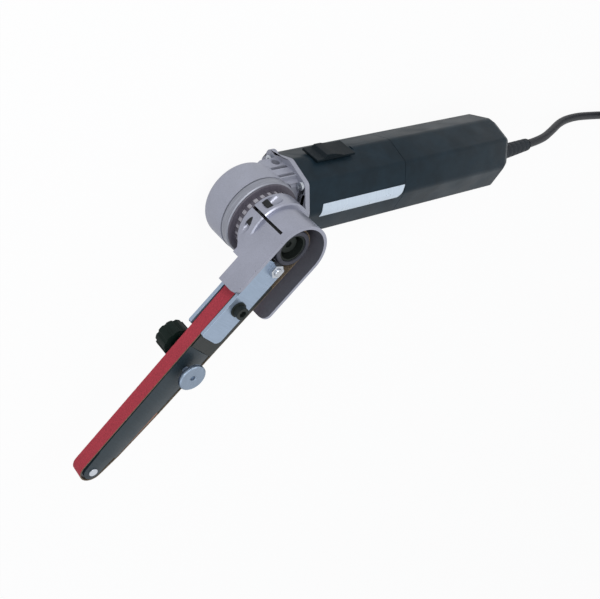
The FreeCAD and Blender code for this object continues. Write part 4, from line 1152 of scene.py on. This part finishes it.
class SANDER_OT_guard(bpy.types.Operator):
    """Finish the cast belt guard: darker inside, partly its own tone and mostly painted shade, with a painted
    shadow in its slit
    """

    bl_idname = "sander.guard"
    bl_label = "Belt guard"

    # in mm, in the arm's frame; the ends keep these shares of their length past ends_start
    ends_start, near_share, far_share = 40.0, 10.6 / 13.0, 15.2 / 17.0
    slit_heading, slit_half, slit_bottom, slit_top = math.radians(-97.6), 1.25, 42.0, 65.4

    def darken_inside(self, guard):
        """Gives the walls that face the belt a darker casting: partly its own as-cast tone, mostly painted shade.
        """
        collar = 12.0 * MM
        plates = [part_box(name)[0].z for name in ("far_side_plate", "near_side_plate")]
        floor_z = min(plates) - 0.5 * MM
        for face in guard.data.polygons:
            c = ROW_TO_ARM @ face.center
            n = ROW_TO_ARM.to_3x3() @ face.normal
            away = Vector((c.x, c.y)) - Vector((max(0.0, c.x), 0.0))
            inward = away.length > collar and n.to_2d().dot(away.normalized()) < -0.6
            if c.z > floor_z and inward:
                face.material_index = 2

    def trim_ends(self, guard):
        """Shortens the guard's two free ends."""
        start = self.ends_start * MM
        for vertex in guard.data.vertices:
            c = ROW_TO_ARM @ vertex.co
            if c.x > start:
                c.x = start + (c.x - start) * (self.near_share if c.y < 0 else self.far_share)
                vertex.co = ARM_TO_ROW @ c

    def close_slit(self, guard, shadow):
        """Puts a dark sheet behind the collar's slit and gives the slit's sides the same dark finish: both are
        painted shadow.
        """
        turn = Matrix.Rotation(self.slit_heading, 4, "Z")
        back = block(21.3, 22.4, -1.5, 1.5, self.slit_bottom, self.slit_top)
        moved(back, ARM_TO_ROW @ turn @ MM_TO_ROW)
        back.data.materials.append(shadow)
        to_slit = turn.inverted() @ ROW_TO_ARM
        for face in guard.data.polygons:
            c = to_slit @ face.center
            sideways = abs((to_slit.to_3x3() @ face.normal).y) > 0.8
            if c.x > 18.0 * MM and abs(c.y) < self.slit_half * MM and sideways:
                face.material_index = 3
        return joined([guard, back], "belt_guard")

    def execute(self, context):
        colour = colours().guard
        guard = merged_copy("arm_casting", "belt_guard")
        guard.data.materials.append(finish_of("cast_guard"))
        guard.data.materials.append(cast_finish("guard_edge", shade(colour, 1.12), 0.35, 0.65))
        # darker casting for the inside walls: partly its own tone, mostly painted shade
        guard.data.materials.append(cast_finish("guard_inside_tone_and_shade", shade(colour, 0.62), 0.6, 0.35))
        shadow = rubber_finish("slit_shadow", (0.12, 0.125, 0.13), 0.8)
        self.darken_inside(guard)
        self.trim_ends(guard)
        break_edges(guard, 0.6 * MM, 3, 36)
        guard.data.materials.append(shadow)
        guard = self.close_slit(guard, shadow)
        dress(guard, "cast_guard", "arm", "arm_casting")
        # the clamp screw in the slit takes the painted shadow all over, in place of its steel finish
        screw = merged_copy("clamp_screw", "clamp_screw_finished")
        screw.data.materials.append(shadow)
        break_edges(screw, 0.25 * MM, 2)
        dress(screw, SLOT_OF["clamp_screw"], "arm", "clamp_screw")
        return {"FINISHED"}


class SANDER_OT_side_plates(bpy.types.Operator):
    """Finish the side plates and their fasteners"""

    bl_idname = "sander.side_plates"
    bl_label = "Side plates"

    def execute(self, context):
        s = sizes()
        # the rounded edges take brighter zinc: a painted highlight and wear
        bright = zinc_finish("zinc_edge", shade(colours().zinc, 1.15), ARM_HEADING)
        for node in ("near_side_plate", "far_side_plate"):
            softened(node, 0.35 * MM, 2, highlight_and_wear=bright)
        for node in ("plate_stud", "stud_nut", "plate_bolt", "plate_nut", "stud_spacer"):
            softened(node, s.sheet_edge, 2)
        return {"FINISHED"}


def belt_circles(inset):
    """What the belt's inner face runs round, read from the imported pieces, in the arm's frame."""
    pulley = (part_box("pulley_sleeve")[1].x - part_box("pulley_sleeve")[0].x) / 2
    nose = (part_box("nose_roller")[1].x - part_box("nose_roller")[0].x) / 2
    pad = [ROW_TO_ARM @ v.co for v in NODES["shoe_pad"].data.vertices]
    start = min(p.x for p in pad) + 1.5 * MM
    end = max(p.x for p in pad) - 1.5 * MM
    top = max(p.y for p in pad)
    slope = 1.8 / 43.0
    edge = 4.0 * MM
    return [(0.0, 0.0, pulley + inset), (NOSE_X, 0.0, nose + inset),
            (end, top - slope * (end - start) - edge, edge + inset), (start, top - edge, edge + inset)]


def belt_line(inset, step):
    """Points round the belt, a step apart: straight runs and the arcs between them."""
    circles = belt_circles(inset)
    normals = []
    for (x0, y0, r0), (x1, y1, r1) in zip(circles, circles[1:] + circles[:1]):
        along = math.atan2(y1 - y0, x1 - x0)
        normals.append(along - math.acos((r0 - r1) / math.hypot(x1 - x0, y1 - y0)))
    line = []
    for i, (x, y, r) in enumerate(circles):
        first = normals[i - 1]
        sweep = (normals[i] - first) % (2 * math.pi)
        count = max(2, int(r * sweep / step) + 1)
        for k in range(count):
            a = first + sweep * k / count
            line.append(Vector((x + r * math.cos(a), y + r * math.sin(a), 0)))
        a = normals[i]
        x1, y1, r1 = circles[(i + 1) % len(circles)]
        here = Vector((x + r * math.cos(a), y + r * math.sin(a), 0))
        there = Vector((x1 + r1 * math.cos(a), y1 + r1 * math.sin(a), 0))
        count = max(1, int((there - here).length / step))
        line += [here.lerp(there, k / count) for k in range(count)]
    return line


class SANDER_OT_belt(bpy.types.Operator):
    """Make the abrasive belt: cloth inside, grit outside, slightly frayed edges"""

    bl_idname = "sander.belt"
    bl_label = "Sanding belt"

    def execute(self, context):
        gap, step, fraying, inset = 0.32 * MM, 1.6 * MM, 0.16 * MM, 0.1 * MM
        line = belt_line(gap, step)
        rows = [0.0, 0.06, 0.5, 0.94, 1.0]
        vertices, faces = [], []
        for i, p in enumerate(line):
            fray = noise.noise(Vector((i * 0.9, 0.0, 3.1))) * fraying
            for row in rows:
                z = BELT_LOW.z + inset + row * (BELT_HIGH.z - BELT_LOW.z - 2 * inset)
                if row in (0.0, 1.0):
                    z += fray if row else -0.6 * fray
                vertices.append(Vector((p.x, p.y, z)))
        count, width = len(line), len(rows)
        for i in range(count):
            j = (i + 1) % count
            for k in range(width - 1):
                faces.append((i * width + k, j * width + k, j * width + k + 1, i * width + k + 1))
        mesh = bpy.data.meshes.new("sanding_belt_cloth")
        mesh.from_pydata(vertices, [], faces)
        belt = bpy.data.objects.new("sanding_belt_cloth", mesh)
        context.scene.collection.objects.link(belt)
        moved(belt, ARM_TO_ROW)
        belt.data.materials.append(finish_of("abrasive_red"))
        belt.data.materials.append(cloth_finish("belt_backing", (0.43, 0.38, 0.32)))
        edit(belt)
        bpy.ops.mesh.normals_make_consistent(inside=False)
        object_mode()
        thick = belt.modifiers.new("Cloth", "SOLIDIFY")
        thick.thickness = 0.93 * MM
        thick.offset = 1.0
        thick.material_offset = 1
        thick.material_offset_rim = 1
        apply_modifiers(belt)
        smooth(belt, 40)
        dress(belt, "abrasive_red", "arm", "sanding_belt")
        return {"FINISHED"}


class SANDER_OT_contact_arm(bpy.types.Operator):
    """Finish the sliding carrier, the contact arm, its pad and its nose"""

    bl_idname = "sander.contact_arm"
    bl_label = "Contact arm"

    def execute(self, context):
        # the rounded edges take brighter paint: a painted highlight and wear
        edge = painted_finish("slate_edge", shade(colours().slate, 1.25), 0.38, ARM_HEADING)
        softened("contact_arm", 0.5 * MM, 2, 36, highlight_and_wear=edge)
        softened("arm_carrier", 0.4 * MM, 2)
        softened("shoe_pad", 0.2 * MM, 1)
        softened("nose_axle", 0.2 * MM, 2)
        softened("nose_roller", 0.3 * MM, 2)
        return {"FINISHED"}


class SANDER_OT_tracking_wheel(bpy.types.Operator):
    """Turn the knurled tracking wheel and its threaded stem"""

    bl_idname = "sander.tracking_wheel"
    bl_label = "Tracking wheel"

    def execute(self, context):
        low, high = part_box("tracking_screw")
        centre = (low + high) / 2
        r = (high.x - low.x) / 2
        top, under = high.z, high.z - 3.8 * MM
        face_r, boss_r, tooth_depth = r - 1.0 * MM, 2.9 * MM, 0.45 * MM
        count = 2 * sizes().knurl_count
        bpy.ops.object.select_all(action="DESELECT")
        bpy.ops.mesh.primitive_cylinder_add(vertices=count, radius=r, depth=2.4 * MM,
                                            location=(centre.x, centre.y, (top + under) / 2))
        wheel = settle(context.active_object, "wheel")
        for vertex in wheel.data.vertices:
            out = vertex.co - Vector((centre.x, centre.y, vertex.co.z))
            tooth = round(math.atan2(out.y, out.x) / (2 * math.pi) * count) % 2
            if tooth:
                vertex.co -= out.normalized() * tooth_depth
        pick_faces(wheel, lambda face: abs(face.normal.z) > 0.9)
        bpy.ops.mesh.extrude_faces_move()
        object_mode()
        for face in [f for f in wheel.data.polygons if f.select]:
            for index in face.vertices:
                vertex = wheel.data.vertices[index]
                out = vertex.co - Vector((centre.x, centre.y, vertex.co.z))
                height = Vector((0, 0, top if face.normal.z > 0 else under))
                vertex.co = Vector((centre.x, centre.y, 0)) + out.normalized() * face_r + height
        pick_faces(wheel, lambda face: face.normal.z > 0.9 and face.center.z > top - 0.1 * MM)
        bpy.ops.mesh.inset(thickness=face_r - boss_r, use_even_offset=False)
        bpy.ops.mesh.inset(thickness=0.9 * MM, depth=-0.5 * MM, use_even_offset=False)
        bpy.ops.mesh.inset(thickness=0.2 * MM, depth=-1.6 * MM, use_even_offset=False)
        object_mode()
        smooth(wheel, 28)
        start, pitch = low.z, 0.8 * MM
        crest, root = 2.42 * MM, 2.05 * MM
        profile = [(0.0, start), (1.9 * MM, start), (2.4 * MM, start + 0.4 * MM)]
        turns = int((under - start - 0.8 * MM) / pitch)
        for k in range(turns):
            z = start + 0.5 * MM + k * pitch
            profile += [(crest, z), (crest, z + 0.15 * MM), (root, z + 0.4 * MM), (root, z + 0.5 * MM)]
        profile += [(crest, under - 0.1 * MM), (crest, under + 0.5 * MM), (0.0, under + 0.5 * MM)]
        stem = lathe("stem", profile, 32)
        moved(stem, Matrix.Translation((centre.x, centre.y, 0)))
        smooth(stem, 40)
        wheel = joined([wheel, stem], "tracking_wheel")
        dress(wheel, "zinc_knob", "tracking", "tracking_screw")
        return {"FINISHED"}


class SANDER_OT_release_knob(bpy.types.Operator):
    """Finish the black release knob"""

    bl_idname = "sander.release_knob"
    bl_label = "Release knob"

    def execute(self, context):
        softened("release_knob", 0.7 * MM, 3, 30)
        return {"FINISHED"}


class SANDER_OT_drive_pulley(bpy.types.Operator):
    """Finish the drive pulley and its rubber sleeve"""

    bl_idname = "sander.drive_pulley"
    bl_label = "Drive pulley"

    def execute(self, context):
        softened("pulley_sleeve", 0.3 * MM, 2)
        softened("pulley_hub", 0.3 * MM, 2)
        softened("pulley_screw", 0.2 * MM, 1)
        return {"FINISHED"}


STEPS = [
    SANDER_OT_camera, SANDER_OT_carried_over, SANDER_OT_cord, SANDER_OT_plug, SANDER_OT_boot,
    SANDER_OT_gear_head, SANDER_OT_index_ring, SANDER_OT_motor_body, SANDER_OT_bare_plate,
    SANDER_OT_slide_switch, SANDER_OT_guard, SANDER_OT_side_plates, SANDER_OT_belt,
    SANDER_OT_contact_arm, SANDER_OT_tracking_wheel, SANDER_OT_release_knob,
    SANDER_OT_drive_pulley, SANDER_OT_stage,
]


class SANDER_PT_panel(bpy.types.Panel):
    """Lists the pieces and their sizes and colours"""

    bl_idname = "SANDER_PT_panel"
    bl_label = "Belt sander"
    bl_space_type = "VIEW_3D"
    bl_region_type = "UI"
    bl_category = "Sander"

    def draw(self, context):
        layout = self.layout
        for group in (context.scene.sander_sizes, context.scene.sander_colours):
            box = layout.box()
            for name in group.bl_rna.properties.keys():
                if name not in ("rna_type", "name"):
                    box.prop(group, name)
        for step in STEPS:
            layout.operator(step.bl_idname)


CLASSES = [SanderSizes, SanderColours] + STEPS + [SANDER_PT_panel]


def register():
    for item in CLASSES:
        bpy.utils.register_class(item)
    bpy.types.Scene.sander_sizes = bpy.props.PointerProperty(type=SanderSizes)
    bpy.types.Scene.sander_colours = bpy.props.PointerProperty(type=SanderColours)


def unregister():
    del bpy.types.Scene.sander_colours
    del bpy.types.Scene.sander_sizes
    for item in reversed(CLASSES):
        bpy.utils.unregister_class(item)


def main():
    register()
    for step in STEPS:
        group, name = step.bl_idname.split(".")
        getattr(getattr(bpy.ops, group), name)()
    bpy.context.view_layer.update()


if __name__ == "__main__":
    main()
